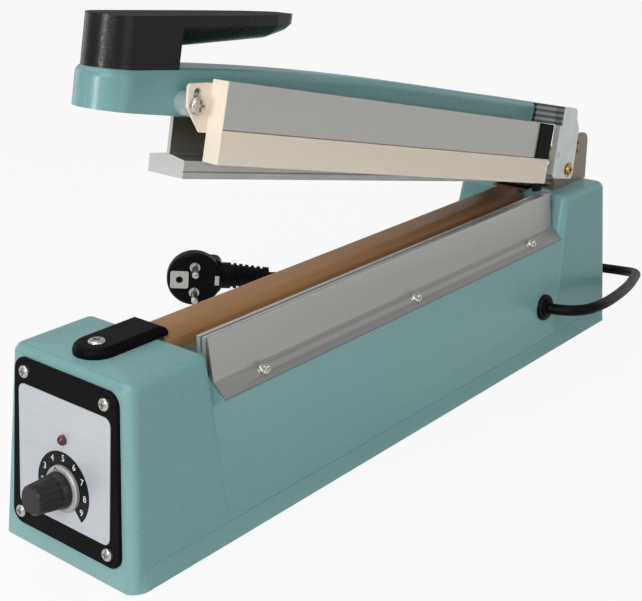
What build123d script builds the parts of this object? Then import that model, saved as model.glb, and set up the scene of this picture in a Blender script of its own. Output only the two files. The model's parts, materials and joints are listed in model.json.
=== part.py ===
from build123d import *
import math
import os

os.makedirs("parts", exist_ok=True)

# Heights are above the table, and depths run back from the base's front foot edge.
# Base casting
BASE_LEN = 445.0
FOOT_W = 97.2
FOOT_H = 11.0
FOOT_R = 8.6
FOOT_TAPER = 9.0
FLOOR_GAP = 0.8
WALL_HALF = FOOT_W / 2 - 1.25
HEAD_DRAFTS = (4.4, 2.75)
MID_DRAFTS = (5.2, 3.55)
HEAD_TOP = 100.2
FRONT_LEAN = 5.2
REAR_LEAN = 3.5
FRONT_HEAD_END = 58.4
FRONT_VALLEY_LEAN = 6.0
REAR_HEAD_START = BASE_LEN - 57.9
REAR_VALLEY_LEAN = 12.0
MID_TOP = 82.0
WALL = 3.2
CORNER_R = 6.0
VALLEY_R = 5.2
TOP_R = 4.6
BOSS_D = 10.0
BOSS_H = 18.0
BOSS_X = WALL_HALF - WALL - BOSS_D / 2 - 0.55
BOSS_YS = (14.0, 222.0, BASE_LEN - 17.0)
RUN_GAP = 0.05
CLEAR = 0.1
SEAT_GAP = 0.3

# Bottom plate and feet
PLATE_T = 1.5
PLATE_LIFT = 2.0
PAD_D = 16.0
PAD_STEM_D = 5.0
PAD_X = 26.0
PAD_YS = (26.0, BASE_LEN - 27.0)
BOARD_Y = (92.0, 160.0)

# Front panel, measured on the leaning front face
BEZEL_T = 1.8
BEZEL_X = 1.4
BEZEL_HALF_TOP = 35.6
BEZEL_HALF_LOW = 38.5
BEZEL_LOW = 11.0
BEZEL_HIGH = 96.5
BEZEL_R = 7.0
LABEL_T = 0.4
LABEL_HALF = 32.0
LABEL_LOW = 22.0
LABEL_HIGH = 84.0
LABEL_R = 4.0
PANEL_SCREWS = (
    (BEZEL_X - 27.4, 90.2),
    (BEZEL_X + 28.2, 90.2),
    (BEZEL_X - 31.0, 17.9),
    (BEZEL_X + 30.8, 17.9),
)
PANEL_SCREW_HEAD = 6.2
WINDOW_HALF = 24.0
WINDOW_LOW = 26.0
WINDOW_HIGH = 82.0
LAMP_X = BEZEL_X
LAMP_Z = 64.5
LAMP_D = 5.0
KNOB_X = BEZEL_X
KNOB_Z = 40.1
KNOB_REACH = 21.0
KNOB_SKIRT_D = 18.0
KNOB_FRONT_D = 14.5
KNOB_EDGE = 0.8
KNOB_FLUTES = 14
FLUTE_D = 2.2
DISC_D = 22.6
DISC_T = 1.7
SHAFT_D = 6.0
POT_D = 22.0
POT_DEPTH = 12.0
BUSH_D = 7.2
BUSH_REACH = 5.5
NUT_AF = 10.0
NUT_T = 2.2

# Sealing bar, its element and tape
BAR_HALF = 11.4
BAR_R = 6.0
BAR_START = 61.0
BAR_END = REAR_HEAD_START - 4.6
TAPE_T = 0.4
TAPE_LOW = 91.0
TONGUE_HALF = 9.0
GROOVE_HALF = 3.05
GROOVE_DEPTH = 0.8
STRIP_T = 0.5
WIRE_HALF = 1.5
WIRE_T = 0.3
ANCHOR_T = 2.1
ANCHOR_FRONT = (44.0, 52.0)
ANCHOR_REAR = (BASE_LEN - 52.5, BASE_LEN - 46.5)
FRONT_CLAMP_W = 23.0
FRONT_CLAMP_Y = (17.0, 62.5)
FRONT_CLAMP_H = 4.8
CLAMP_EDGE_R = 3.2
CLAMP_SCREW_Y = 28.4
REAR_CLAMP_W = 24.0
REAR_CLAMP_Y = (BASE_LEN - 58.5, BASE_LEN - 44.5)
REAR_CLAMP_H = 2.4
REAR_SCREW_X = 4.4
REAR_SCREW_Y = BASE_LEN - 50.5
BAR_SCREW_YS = (100.0, 220.0, BAR_END - 42.5)

# Cutter strips and side plate, as an outline of (x, z) on the outer face
PLATE_TOP = (WALL_HALF - 14.75, 102.6)
PLATE_BEND = (WALL_HALF - 11.75, 80.5)
PLATE_LOW = (WALL_HALF - 4.25, 73.9)
SIDE_PLATE_T = 1.2
VALLEY_START = 67.5
VALLEY_END = REAR_HEAD_START - 6.1
SIDE_SCREW_YS = (99.0, 226.0, VALLEY_END - 31.0)
SIDE_SCREW_DROP = 4.4
STRIP_W = 2.4
GROOVE_W = 1.2
STRIP_TOP = 102.0
GROOVE_FLOOR = 94.0

# Arm axis, and how far the arm stands open at rest
AXIS_Y = BASE_LEN - 39.0
AXIS_Z = 113.0
OPEN_DEG = 12.43
CLOSE_TRAVEL_DEG = 12.3
EAR_X = 25.0
EAR_T = 2.0
EAR_Y = (BASE_LEN - 49.0, BASE_LEN - 7.0)
EAR_TOP = 132.4
EAR_R = 7.0
BRACKET_T = 2.0
EAR_HOLE_Y = BASE_LEN - 20.5
BRACKET_SCREWS = [(x, BASE_LEN - y) for x in (-16.0, 16.0) for y in (33.0, 18.0)]
CHEEK_T = 4.0
PIVOT_D = 8.0
PIVOT_HEAD_D = 6.6
PIVOT_HEAD_H = 3.2
PIVOT_SINK = 1.2
PIVOT_SINK_D = 10.0

# Lift rod and switch under the arm's lug
LEVER = 15.0
LUG_R = 3.5
LUG_X = 12.0
ROD_X = 17.0
ROD_D = 6.0
ROD_CAP_D = 8.0
ROD_CAP_H = 4.5
COLLAR_D = 12.0
COLLAR_T = 2.0
LEDGE_TOP = 44.0
LEDGE_T = 5.0
SPRING_LEN = 28.0
SPRING_D = 11.0
SPRING_WIRE = 1.4
SPRING_TURNS = 8
SWITCH_H = 16.0
PLUNGER_D = 3.1
PLUNGER_REACH = 1.8
PLUNGER_TRAVEL = 0.8

# Arm, as it lies when closed
ARM_HALF = 16.0
ARM_NOSE_Y = 31.7
ARM_END = BASE_LEN - 69.0
ARM_END_LEAN = 3.2
ARM_LOW = 130.3
ARM_TOP_FRONT = 148.0
ARM_TOP_MID = (190.0, 156.1)
ARM_TOP_MORE = ((100.0, 154.0), (280.0, 155.2))
ARM_TOP_REAR = 153.4
ARM_SKIN = 4.5
ARM_SIDE = 4.0
ARM_EDGE_R = 4.0
HANDLE_HALF = 14.5
HANDLE_NOSE_Y = 32.3
HANDLE_BLOCK_END = 58.0
HANDLE_TOP_Z = 170.5
HANDLE_TOP_Y = 20.0
HANDLE_SLOPE = 0.1066
HANDLE_SIDE = 5.0
HANDLE_EDGE_R = 2.2
HANDLE_SCREW_YS = (30.0, 46.0)
HANDLE_LOW = ARM_LOW + 5.0
TONGUE_SCREW_YS = (ARM_END - 19.0, ARM_END - 7.0)
TONGUE_LOW = 141.0
FLARE_START = ARM_END + 2.4
FLARE_LOW = 141.1
FLARE_HIGH = 153.0

# Press bar under the arm
PRESS_HALF = 11.6
PRESS_LOW = 101.3
PRESS_H = 10.0
PRESS_START = 70.6
PRESS_END = ARM_END + 4.0
WEB_HALF = 1.0
WEB_START = 71.1
WEB_TOP = 140.0
WEB_END = ARM_END - 31.0
PRESS_TRAVEL = 4.0
PRESS_LINE = 3.3
PIN_D = 4.0
PIN_Z = 135.0
PIN_YS = (92.0, 212.0, ARM_END - 44.0)
PUSH_YS = (115.0, 235.0, ARM_END - 66.0)
PUSH_D = 7.0
PUSH_WIRE = 1.0
PUSH_LEN = 11.0
PUSH_TURNS = 5
PUSH_SEAT = 131.0
SILICONE_HALF = 5.0
SILICONE_INSET = 2.5
SILICONE_T = 2.6
SILICONE_PROUD = 0.2

# Side cutter, as it lies parallel to the closed arm
CUT_PIVOT_Y = AXIS_Y - 16.5
CUT_PIVOT_Z = 122.0
CUT_RAISE_DEG = 1.42
CUT_TRAVEL_DEG = 0.95
GUARD_X = (24.6, 34.1)
GUARD_Y = (69.2, ARM_END - 3.5)
GUARD_END_WALL = 0.6
GUARD_LOW = 103.55
GUARD_H = 37.4
REBATE_DEPTH = 2.0
REBATE_LOW = 15.4
REBATE_HIGH = 36.5
COVER_T = 1.5
COVER_END = ARM_END - 21.0
CAP_END = ARM_END - 5.0
BLADE_X = (28.2, 29.0)
BLADE_LOW = 0.9
BLADE_H = 16.0
GUIDE_Y = 60.9
GUIDE_Z = 136.5
GUIDE_BOSS_D = 11.0
GUIDE_SHANK_D = 4.0
BRACKET_SHEET = 1.6

# Mains lead
CORD_D = 7.0
GROMMET_Y = 360.0
GROMMET_Z = 33.2
GROMMET_D = 17.0
GROMMET_NOSE_D = 11.0
GROMMET_FLANGE = 2.6
LEAD_ROUTE = (
    (49.5, 360.0, 33.4),
    (57.0, 360.0, 33.87),
    (64.0, 366.5, 33.0),
    (66.5, 380.0, 30.3),
    (63.5, 400.0, 27.2),
    (57.0, 428.0, 24.0),
    (49.0, 461.0, 19.5),
    (38.5, 497.0, 12.5),
    (28.0, 522.0, 6.6),
    (15.0, 538.0, 3.8),
    (-4.0, 543.0, 3.6),
    (-24.0, 532.5, 3.6),
    (-39.2, 512.2, 3.6),
    (-48.2, 489.9, 3.6),
    (-59.2, 478.9, 3.6),
    (-73.0, 473.0, 3.6),
    (-86.0, 473.0, 3.6),
)
COIL_X = -93.0
COIL_Y = 438.0
COIL_R = 35.0
COIL_LOW = 3.84
COIL_PITCH = 7.6
COIL_TURNS = 3.25
TAIL_ROUTE = (
    (-128.0, 431.0, 28.78),
    (-128.0, 417.0, 29.26),
    (-129.5, 402.0, 26.0),
    (-134.0, 384.0, 20.0),
    (-140.0, 366.0, 15.5),
    (-147.0, 349.5, 14.0),
    (-155.3, 335.5, 14.8),
    (-164.3, 326.1, 15.8),
)
PLUG_FACE = (-192.8, 278.9, 20.0)
PLUG_AIM_DEG = -43.64
PLUG_ROLL_DEG = 4.5
PLUG_D = 39.4
PLUG_DISC_T = 9.0
PLUG_BACK = 23.0
PLUG_AXIS_BACK = 12.0
PLUG_NECK = 20.0
PLUG_REACH = 54.0
RELIEF_D = (19.0, 13.8)
RELIEF_RIBS = 6
PLUG_PIN_D = 4.8
PLUG_PIN_LEN = 19.0
PLUG_PIN_GAP = 19.0
EARTH_OFFSET = 10.8

# Derived places
KNOB_TIP_LOW = KNOB_Z - KNOB_FRONT_D / 2 + KNOB_EDGE
MID_Y = (BASE_LEN - KNOB_REACH * math.cos(math.radians(FRONT_LEAN))
         + KNOB_TIP_LOW * math.sin(math.radians(FRONT_LEAN))) / 2
PLATE_TOP_Z = PLATE_LIFT + PLATE_T
TAPE_TOP = HEAD_TOP + TAPE_T
GUIDE_TRAVEL = (CUT_PIVOT_Y - GUIDE_Y) * math.radians(CUT_TRAVEL_DEG)
CHEEK_X = EAR_X + EAR_T + CLEAR
LOW_ALIGN = (Align.CENTER, Align.CENTER, Align.MIN)
HIGH_ALIGN = (Align.CENTER, Align.CENTER, Align.MAX)


def tan_deg(angle):
    return math.tan(math.radians(angle))


def cos_deg(angle):
    return math.cos(math.radians(angle))


def sin_deg(angle):
    return math.sin(math.radians(angle))


PANEL = Plane(
    origin=(0, 0, 0),
    x_dir=(1, 0, 0),
    z_dir=(0, -cos_deg(FRONT_LEAN), sin_deg(FRONT_LEAN)),
)
PLUG_PLANE = Plane(
    origin=PLUG_FACE,
    x_dir=(
        -sin_deg(PLUG_AIM_DEG) * cos_deg(PLUG_ROLL_DEG),
        cos_deg(PLUG_AIM_DEG) * cos_deg(PLUG_ROLL_DEG),
        -sin_deg(PLUG_ROLL_DEG),
    ),
    z_dir=(cos_deg(PLUG_AIM_DEG), sin_deg(PLUG_AIM_DEG), 0),
)


# Basic shapes
def block(x0, x1, y0, y1, z0, z1):
    """Box between two opposite corners."""
    box = Box(x1 - x0, y1 - y0, z1 - z0)
    return Pos((x0 + x1) / 2, (y0 + y1) / 2, (z0 + z1) / 2) * box


def outline(points):
    """Flat face inside a closed run of straight edges."""
    return make_face(Polyline(*points, close=True))


def slab_x(points, x0, x1):
    """Outline of (y, z) points, carried from x0 to x1."""
    return extrude(Plane.YZ.offset(x0) * outline(points), amount=x1 - x0)


def slab_y(points, y0, y1):
    """Outline of (x, z) points, carried from y0 back to y1."""
    rear = Plane(origin=(0, y1, 0), x_dir=(1, 0, 0), z_dir=(0, -1, 0))
    return extrude(rear * outline(points), amount=y1 - y0)


def slab_z(points, z0, z1):
    """Outline of (x, y) points, carried from z0 up to z1."""
    return extrude(Plane.XY.offset(z0) * outline(points), amount=z1 - z0)


def rod(start, end, diameter):
    """Round bar from one point to another."""
    way = Vector(*end) - Vector(*start)
    bar = Cylinder(diameter / 2, way.length, align=LOW_ALIGN)
    return Plane(origin=start, z_dir=way) * bar


def upright_edges(shape):
    """Edges that stand within about 25 degrees of vertical."""
    return shape.edges().filter_by(lambda edge: abs((edge @ 1 - edge @ 0).normalized().Z) > 0.9)


def group(*shapes):
    """Separate solids under one name."""
    return Compound(children=[solid for shape in shapes for solid in shape.solids()])


def screw(head_d, head_h, shank_d, length):
    """Pan head with a cross recess on the plane z = 0, shank below it."""
    head = Cylinder(head_d / 2, head_h, align=LOW_ALIGN)
    head = fillet(head.edges().sort_by(Axis.Z)[-1], 0.6 * head_h)
    arm_w = 0.16 * head_d
    arm_l = 0.62 * head_d
    cross = Pos(0, 0, head_h) * (Box(arm_l, arm_w, head_h) + Box(arm_w, arm_l, head_h))
    return head - cross + Cylinder(shank_d / 2, length, align=HIGH_ALIGN)


def facing(x, y, z, way):
    """Plane at a point whose normal points the given way."""
    return Plane(origin=(x, y, z), z_dir=way)


def tilt_arm(shape):
    """Turn a piece from the closed arm to the open rest pose."""
    return shape.rotate(Axis((0, AXIS_Y, AXIS_Z), (1, 0, 0)), -OPEN_DEG)


def tilt_cutter(shape):
    """Lift a cutter piece to its raised place on the closed arm."""
    return shape.rotate(Axis((0, CUT_PIVOT_Y, CUT_PIVOT_Z), (1, 0, 0)), -CUT_RAISE_DEG)


def biarc_path(points, tangents):
    """Pairs of tangent arcs from point to point."""
    edges = []
    for i in range(len(points) - 1):
        chord = points[i + 1] - points[i]
        both = tangents[i] + tangents[i + 1]
        a = both.dot(both) - 4
        b = -2 * chord.dot(both)
        c = chord.dot(chord)
        reach = 2 * c / (-b + math.sqrt(b * b - 4 * a * c))
        middle = (points[i] + tangents[i] * reach + points[i + 1] - tangents[i + 1] * reach) / 2
        edges.append(TangentArc(points[i], middle, tangent=tangents[i]))
        edges.append(TangentArc(middle, points[i + 1], tangent=edges[-1] % 1))
    return edges


def helix_tube(centre, radius, low, pitch, turns, start_deg, wire, straight):
    """Wound round wire with straight ends, and the least gap between its turns."""
    steps = int(round(turns * 4))
    rise = pitch / (2 * math.pi * radius)
    points = []
    tangents = []
    for i in range(steps + 1):
        angle = math.radians(start_deg) + i * math.pi / 2
        x = centre[0] + radius * math.cos(angle)
        y = centre[1] + radius * math.sin(angle)
        points.append(Vector(x, y, low + pitch * i / 4))
        tangents.append(Vector(-math.sin(angle), math.cos(angle), rise).normalized())
    edges = biarc_path(points, tangents)
    if straight:
        edges.insert(0, Line(points[0] - tangents[0] * straight, points[0]))
        edges.append(Line(points[-1], points[-1] + tangents[-1] * straight))
    wire_path = Wire(edges)
    start = Plane(origin=wire_path @ 0, z_dir=wire_path % 0)
    tube = sweep(start * Circle(wire / 2), path=wire_path)
    return tube, wire_path


def least_gap(path, wire, turn_length, count):
    """Least clear distance between points more than half a turn apart along a wound wire."""
    length = path.length
    samples = [path @ (i / count) for i in range(count + 1)]
    apart = int(0.5 * turn_length / length * count)
    least = 1e9
    for i in range(len(samples)):
        for j in range(i + apart, len(samples)):
            least = min(least, (samples[i] - samples[j]).length)
    return least - wire


def cord_tube(route, diameter, name):
    """Tube along straight runs joined by tangent arcs."""
    points = [Vector(*point) for point in route]
    runs = [points[i + 1] - points[i] for i in range(len(points) - 1)]
    radii = []
    for first, second in zip(runs, runs[1:]):
        half_turn = math.radians(first.get_angle(second)) / 2
        radii.append(0.45 * min(first.length, second.length) / math.tan(half_turn))
    path = FilletPolyline(*points, radius=radii)
    start = Plane(origin=points[0], z_dir=runs[0])
    tube = sweep(start * Circle(diameter / 2), path=path)
    expected = math.pi * diameter ** 2 / 4 * path.length
    print(name, "radii", [round(r, 1) for r in radii])
    print(name, "length", round(path.length, 1), "volume ratio", round(tube.volume / expected, 4))
    return tube


# Base casting
def wall_at(z, draft):
    return WALL_HALF - z * tan_deg(draft)


def front_face_y(z):
    return z * tan_deg(FRONT_LEAN)


def rear_face_y(z):
    return BASE_LEN - z * tan_deg(REAR_LEAN)


def front_valley_y(z):
    return FRONT_HEAD_END + (HEAD_TOP - z) * tan_deg(FRONT_VALLEY_LEAN)


def rear_valley_y(z):
    return REAR_HEAD_START - (HEAD_TOP - z) * tan_deg(REAR_VALLEY_LEAN)


def head_form(near, far, inset):
    """Raised end of the base between two leaning faces, or its hollow when inset."""
    low = FLOOR_GAP if inset == 0 else 0
    high = HEAD_TOP - inset
    side = [
        (near(low) + inset, low),
        (near(high) + inset, high),
        (far(high) - inset, high),
        (far(low) - inset, low),
    ]
    (left_low, right_low), (left_high, right_high) = [
        [wall_at(z, draft) - inset for draft in HEAD_DRAFTS] for z in (low, high)]
    section = [(-left_low, low), (right_low, low), (right_high, high), (-left_high, high)]
    return slab_x(side, -FOOT_W, FOOT_W) & slab_y(section, -WALL, BASE_LEN + WALL)


def soften_head(head, near_r, far_r):
    """Round the upright corners, then the top edge."""
    upright = upright_edges(head).sort_by(Axis.Y)
    head = fillet(upright[:2], near_r)
    upright = upright_edges(head).sort_by(Axis.Y)
    head = fillet(upright[-2:], far_r)
    return fillet(head.faces().sort_by(Axis.Z)[-1].edges(), TOP_R)


def shoulder_angle():
    """Fall of the side plate's lower strip, which the casting's shoulder carries."""
    fall = PLATE_BEND[1] - PLATE_LOW[1]
    run = PLATE_LOW[0] - PLATE_BEND[0]
    return math.atan2(fall, run)


def mid_half(inset, draft):
    """Wall foot, wall top and crown of one side of the base's low middle."""
    angle = shoulder_angle()
    bend = sheet_inner()[1]
    sx = bend[0] - inset * math.sin(angle)
    sz = bend[1] - inset * math.cos(angle)
    low = FLOOR_GAP if inset == 0 else 0
    high = MID_TOP - inset
    slope = 1 / math.tan(angle)
    base_x = WALL_HALF - inset
    wall_z = (sx + sz * slope - base_x) / (slope - tan_deg(draft))
    wall_x = base_x - wall_z * tan_deg(draft)
    top_x = sx + (sz - high) * slope
    foot_x = base_x - low * tan_deg(draft)
    return [(foot_x, low), (wall_x, wall_z), (top_x, high)]


def mid_section(inset):
    """Outline of the low middle of the base: leaning walls, shoulders, flat top."""
    left, right = [mid_half(inset, draft) for draft in MID_DRAFTS]
    return right + [(-x, z) for x, z in reversed(left)]


def mid_form(inset):
    """Low middle of the base, run into both heads."""
    return slab_y(mid_section(inset), FRONT_HEAD_END / 2, (REAR_HEAD_START + BASE_LEN) / 2)


def foot_form():
    """Plinth round the foot, cut to the leaning front face."""
    plan = Pos(0, BASE_LEN / 2) * RectangleRounded(FOOT_W, BASE_LEN, FOOT_R)
    foot = extrude(Plane.XY.offset(FLOOR_GAP) * plan, amount=FOOT_H - FLOOR_GAP, taper=FOOT_TAPER)
    side = [(front_face_y(0), 0), (front_face_y(FOOT_H), FOOT_H), (BASE_LEN, FOOT_H), (BASE_LEN, 0)]
    return foot & slab_x(side, -FOOT_W, FOOT_W)


def grommet_plane():
    """Plane on the right wall's outer face where the mains lead comes out."""
    x = wall_at(GROMMET_Z, MID_DRAFTS[1])
    return facing(x, GROMMET_Y, GROMMET_Z, (cos_deg(MID_DRAFTS[1]), 0, sin_deg(MID_DRAFTS[1])))


def rod_y():
    """Depth of the lift rod, under the arm's lug."""
    return AXIS_Y - LEVER


def rod_top():
    """Top of the lift rod, just under the lug of the open arm."""
    return AXIS_Z + LEVER * sin_deg(OPEN_DEG / 2) - LUG_R - SEAT_GAP


def housing():
    front = soften_head(head_form(front_face_y, front_valley_y, 0), CORNER_R, VALLEY_R)
    rear = soften_head(head_form(rear_valley_y, rear_face_y, 0), VALLEY_R, CORNER_R)
    body = front + mid_form(0) + rear + foot_form()
    body -= head_form(front_face_y, front_valley_y, WALL)
    body -= mid_form(WALL)
    body -= head_form(rear_valley_y, rear_face_y, WALL)
    for x in (-BOSS_X, BOSS_X):
        for y in BOSS_YS:
            body += rod((x, y, PLATE_TOP_Z), (x, y, BOSS_H), BOSS_D)
            body -= rod((x, y, PLATE_TOP_Z - 1), (x, y, BOSS_H - 2), 3.0 + 2 * RUN_GAP)
    body += rod_ledge()
    body -= PANEL * block(BEZEL_X - WINDOW_HALF, BEZEL_X + WINDOW_HALF, WINDOW_LOW, WINDOW_HIGH,
                          -2 * WALL, 1)
    for x, z in PANEL_SCREWS:
        body -= PANEL * rod((x, z, -2 * WALL), (x, z, 1), 3.4 + 2 * RUN_GAP)
    body -= block(-GROOVE_HALF, GROOVE_HALF, ANCHOR_FRONT[0], FRONT_HEAD_END + 5,
                  HEAD_TOP - GROOVE_DEPTH, HEAD_TOP + 1)
    body -= block(-GROOVE_HALF, GROOVE_HALF, REAR_HEAD_START - 5, ANCHOR_REAR[1],
                  HEAD_TOP - GROOVE_DEPTH, HEAD_TOP + 1)
    for y0, y1 in (ANCHOR_FRONT, ANCHOR_REAR):
        body -= block(-GROOVE_HALF, GROOVE_HALF, y0 - CLEAR, y1 + CLEAR,
                      HEAD_TOP - WIRE_T - ANCHOR_T, HEAD_TOP + 1)
    body -= rod((0, CLAMP_SCREW_Y, HEAD_TOP - 2 * WALL), (0, CLAMP_SCREW_Y, HEAD_TOP + 1), 4.1)
    for x in (-REAR_SCREW_X, REAR_SCREW_X):
        body -= rod((x, REAR_SCREW_Y, HEAD_TOP - 2 * WALL), (x, REAR_SCREW_Y, HEAD_TOP + 1), 2.5)
    for x, y in BRACKET_SCREWS:
        body -= rod((x, y, HEAD_TOP - 2 * WALL), (x, y, HEAD_TOP + 1), 4.1)
    for y in BAR_SCREW_YS:
        body -= rod((0, y, MID_TOP - 2 * WALL), (0, y, MID_TOP + 1), 4.1)
    for plane in side_screw_planes():
        body -= plane * Cylinder(1.7 + RUN_GAP, 4 * WALL)
    body -= grommet_plane() * Cylinder(GROMMET_NOSE_D / 2 + RUN_GAP, 4 * WALL)
    body -= rod((ROD_X, rod_y(), LEDGE_TOP), (ROD_X, rod_y(), HEAD_TOP + 1), ROD_D + 2 * RUN_GAP)
    return body


def rod_ledge():
    """Shelf on the right wall that guides the lift rod's tail and carries its spring."""
    low = LEDGE_TOP - LEDGE_T
    half = COLLAR_D / 2 + 2
    wall = wall_at(low, MID_DRAFTS[1]) - WALL / 2
    ledge = block(ROD_X - half, wall, rod_y() - half, rod_y() + half, low, LEDGE_TOP)
    web = [(ROD_X + half, low), (wall, low), (wall, low - 12)]
    ledge += slab_y(web, rod_y() - 2, rod_y() + 2)
    return ledge - rod((ROD_X, rod_y(), low - 1), (ROD_X, rod_y(), LEDGE_TOP + 1), ROD_D + 2 * RUN_GAP)


def bottom_plate():
    inset = WALL + SEAT_GAP
    half = wall_at(PLATE_TOP_Z, MID_DRAFTS[1]) - inset
    plate = block(-half, half, front_face_y(PLATE_TOP_Z) + inset, rear_face_y(PLATE_TOP_Z) - inset,
                  PLATE_LIFT, PLATE_TOP_Z)
    for x in (-BOSS_X, BOSS_X):
        for y in BOSS_YS:
            plate -= rod((x, y, 0), (x, y, PLATE_TOP_Z + 1), 3.0 + 2 * CLEAR)
    for x in (-PAD_X, PAD_X):
        for y in PAD_YS:
            plate -= rod((x, y, 0), (x, y, PLATE_TOP_Z + 1), PAD_STEM_D + 2 * RUN_GAP)
    return plate


def bottom_plate_screws():
    head_h = PLATE_LIFT - FLOOR_GAP - 0.1
    pieces = []
    for x in (-BOSS_X, BOSS_X):
        for y in BOSS_YS:
            pieces.append(facing(x, y, PLATE_LIFT, (0, 0, -1)) * screw(6.0, head_h, 3.0, 12.0))
    return group(*pieces)


def rubber_feet():
    pieces = []
    for x in (-PAD_X, PAD_X):
        for y in PAD_YS:
            foot = rod((x, y, 0), (x, y, PLATE_LIFT), PAD_D)
            foot += rod((x, y, 0), (x, y, PLATE_TOP_Z), PAD_STEM_D)
            foot += rod((x, y, PLATE_TOP_Z), (x, y, PLATE_TOP_Z + 1.5), PAD_STEM_D + 2)
            pieces.append(foot)
    return group(*pieces)


# Front panel
def rounded_plate(points, z0, z1, corner):
    plate = slab_z(points, z0, z1)
    return fillet(plate.edges().filter_by(Axis.Z), corner)


def panel_bezel():
    points = [
        (BEZEL_X - BEZEL_HALF_LOW, BEZEL_LOW),
        (BEZEL_X + BEZEL_HALF_LOW, BEZEL_LOW),
        (BEZEL_X + BEZEL_HALF_TOP, BEZEL_HIGH),
        (BEZEL_X - BEZEL_HALF_TOP, BEZEL_HIGH),
    ]
    plate = rounded_plate(points, 0, BEZEL_T, BEZEL_R)
    plate = chamfer(plate.faces().sort_by(Axis.Z)[-1].edges(), 0.5)
    for x, z in PANEL_SCREWS:
        plate -= rod((x, z, -1), (x, z, BEZEL_T + 1), 3.4 + 2 * CLEAR)
    plate -= rod((KNOB_X, KNOB_Z, -1), (KNOB_X, KNOB_Z, BEZEL_T + 1), BUSH_D + 2 * RUN_GAP)
    plate -= rod((LAMP_X, LAMP_Z, -1), (LAMP_X, LAMP_Z, BEZEL_T + 1), LAMP_D + 2 * RUN_GAP)
    return PANEL * plate


def panel_label():
    points = [
        (BEZEL_X - LABEL_HALF, LABEL_LOW),
        (BEZEL_X + LABEL_HALF, LABEL_LOW),
        (BEZEL_X + LABEL_HALF, LABEL_HIGH),
        (BEZEL_X - LABEL_HALF, LABEL_HIGH),
    ]
    high = BEZEL_T + LABEL_T
    plate = rounded_plate(points, BEZEL_T, high, LABEL_R)
    plate -= rod((KNOB_X, KNOB_Z, 0), (KNOB_X, KNOB_Z, high + 1), BUSH_D + 2 * RUN_GAP)
    plate -= rod((LAMP_X, LAMP_Z, 0), (LAMP_X, LAMP_Z, high + 1), LAMP_D + 2 * RUN_GAP)
    return PANEL * plate


def panel_screws():
    one = screw(PANEL_SCREW_HEAD, 1.9, 3.4, 10.0)
    return group(*[PANEL * (Pos(x, z, BEZEL_T) * one) for x, z in PANEL_SCREWS])


def indicator_lamp():
    """Round lamp: dome in front, rim behind the bezel, two leads."""
    reach = BEZEL_T + LABEL_T + 0.5
    lamp = Cylinder(LAMP_D / 2, reach, align=LOW_ALIGN)
    lamp += Pos(0, 0, reach) * Sphere(LAMP_D / 2)
    lamp += Cylinder(LAMP_D / 2 + 0.5, 3.0, align=HIGH_ALIGN)
    for x in (-1.27, 1.27):
        lamp += Pos(x, 0, -3.0) * Cylinder(0.3, 9.0, align=HIGH_ALIGN)
    return PANEL * (Pos(LAMP_X, LAMP_Z, 0) * lamp)


def potentiometer():
    """Timer potentiometer: can behind the bezel, threaded bush and nut in front."""
    label_top = BEZEL_T + LABEL_T
    can = Cylinder(POT_D / 2, POT_DEPTH, align=HIGH_ALIGN)
    can += Cylinder(BUSH_D / 2, BUSH_REACH, align=LOW_ALIGN)
    can += Pos(0, POT_D / 2, -POT_DEPTH / 2) * Box(14, 6, 1.6)
    can -= Pos(0, 0, BUSH_REACH + 1) * Cylinder(SHAFT_D / 2 + RUN_GAP, BUSH_REACH + POT_DEPTH, align=HIGH_ALIGN)
    nut = extrude(RegularPolygon(NUT_AF / 2, 6, major_radius=False), amount=NUT_T)
    nut -= Cylinder(BUSH_D / 2, 4 * NUT_T)
    at = Pos(KNOB_X, KNOB_Z, 0)
    return group(PANEL * (at * can), PANEL * (at * Pos(0, 0, label_top) * nut))


def pot_shaft():
    low = 1.0 + SEAT_GAP - POT_DEPTH
    shaft = Pos(0, 0, low) * Cylinder(SHAFT_D / 2, KNOB_REACH - 4 - low, align=LOW_ALIGN)
    return PANEL * (Pos(KNOB_X, KNOB_Z, 0) * shaft)


def disc_base():
    return BEZEL_T + LABEL_T + SEAT_GAP


def knob_disc():
    """Silver dial disc behind the knob."""
    low = disc_base()
    disc = Pos(0, 0, low) * Cylinder(DISC_D / 2, DISC_T, align=LOW_ALIGN)
    disc = chamfer(disc.edges().sort_by(Axis.Z)[-1], 0.8)
    disc -= Pos(0, 0, low - 1) * Cylinder(NUT_AF * 0.62, DISC_T + 2, align=LOW_ALIGN)
    return PANEL * (Pos(KNOB_X, KNOB_Z, 0) * disc)


def timer_knob():
    """Fluted knob with a wider skirt and a pocket over the bush and nut."""
    low = disc_base() + DISC_T
    skirt = KNOB_SKIRT_D / 2
    tip = KNOB_FRONT_D / 2
    profile = [
        (0, low),
        (skirt, low),
        (skirt, low + 1.8),
        (tip + 1.0, low + 4.4),
        (tip, KNOB_REACH - KNOB_EDGE),
        (tip - KNOB_EDGE, KNOB_REACH),
        (0, KNOB_REACH),
    ]
    knob = revolve(Plane.XZ * outline(profile), Axis.Z)
    for i in range(KNOB_FLUTES):
        angle = 2 * math.pi * i / KNOB_FLUTES
        foot = ((tip + 1.55) * math.cos(angle), (tip + 1.55) * math.sin(angle), low + 4.4)
        end = ((tip + 0.55) * math.cos(angle), (tip + 0.55) * math.sin(angle), KNOB_REACH + 1)
        knob -= rod(foot, end, FLUTE_D)
    pocket = Cylinder(NUT_AF * 0.62, 2 * (BUSH_REACH + SEAT_GAP), align=Align.CENTER)
    bore = Cylinder(SHAFT_D / 2 + 0.02, KNOB_REACH - 3.5, align=LOW_ALIGN)
    return PANEL * (Pos(KNOB_X, KNOB_Z, 0) * (knob - pocket - bore))


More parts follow.
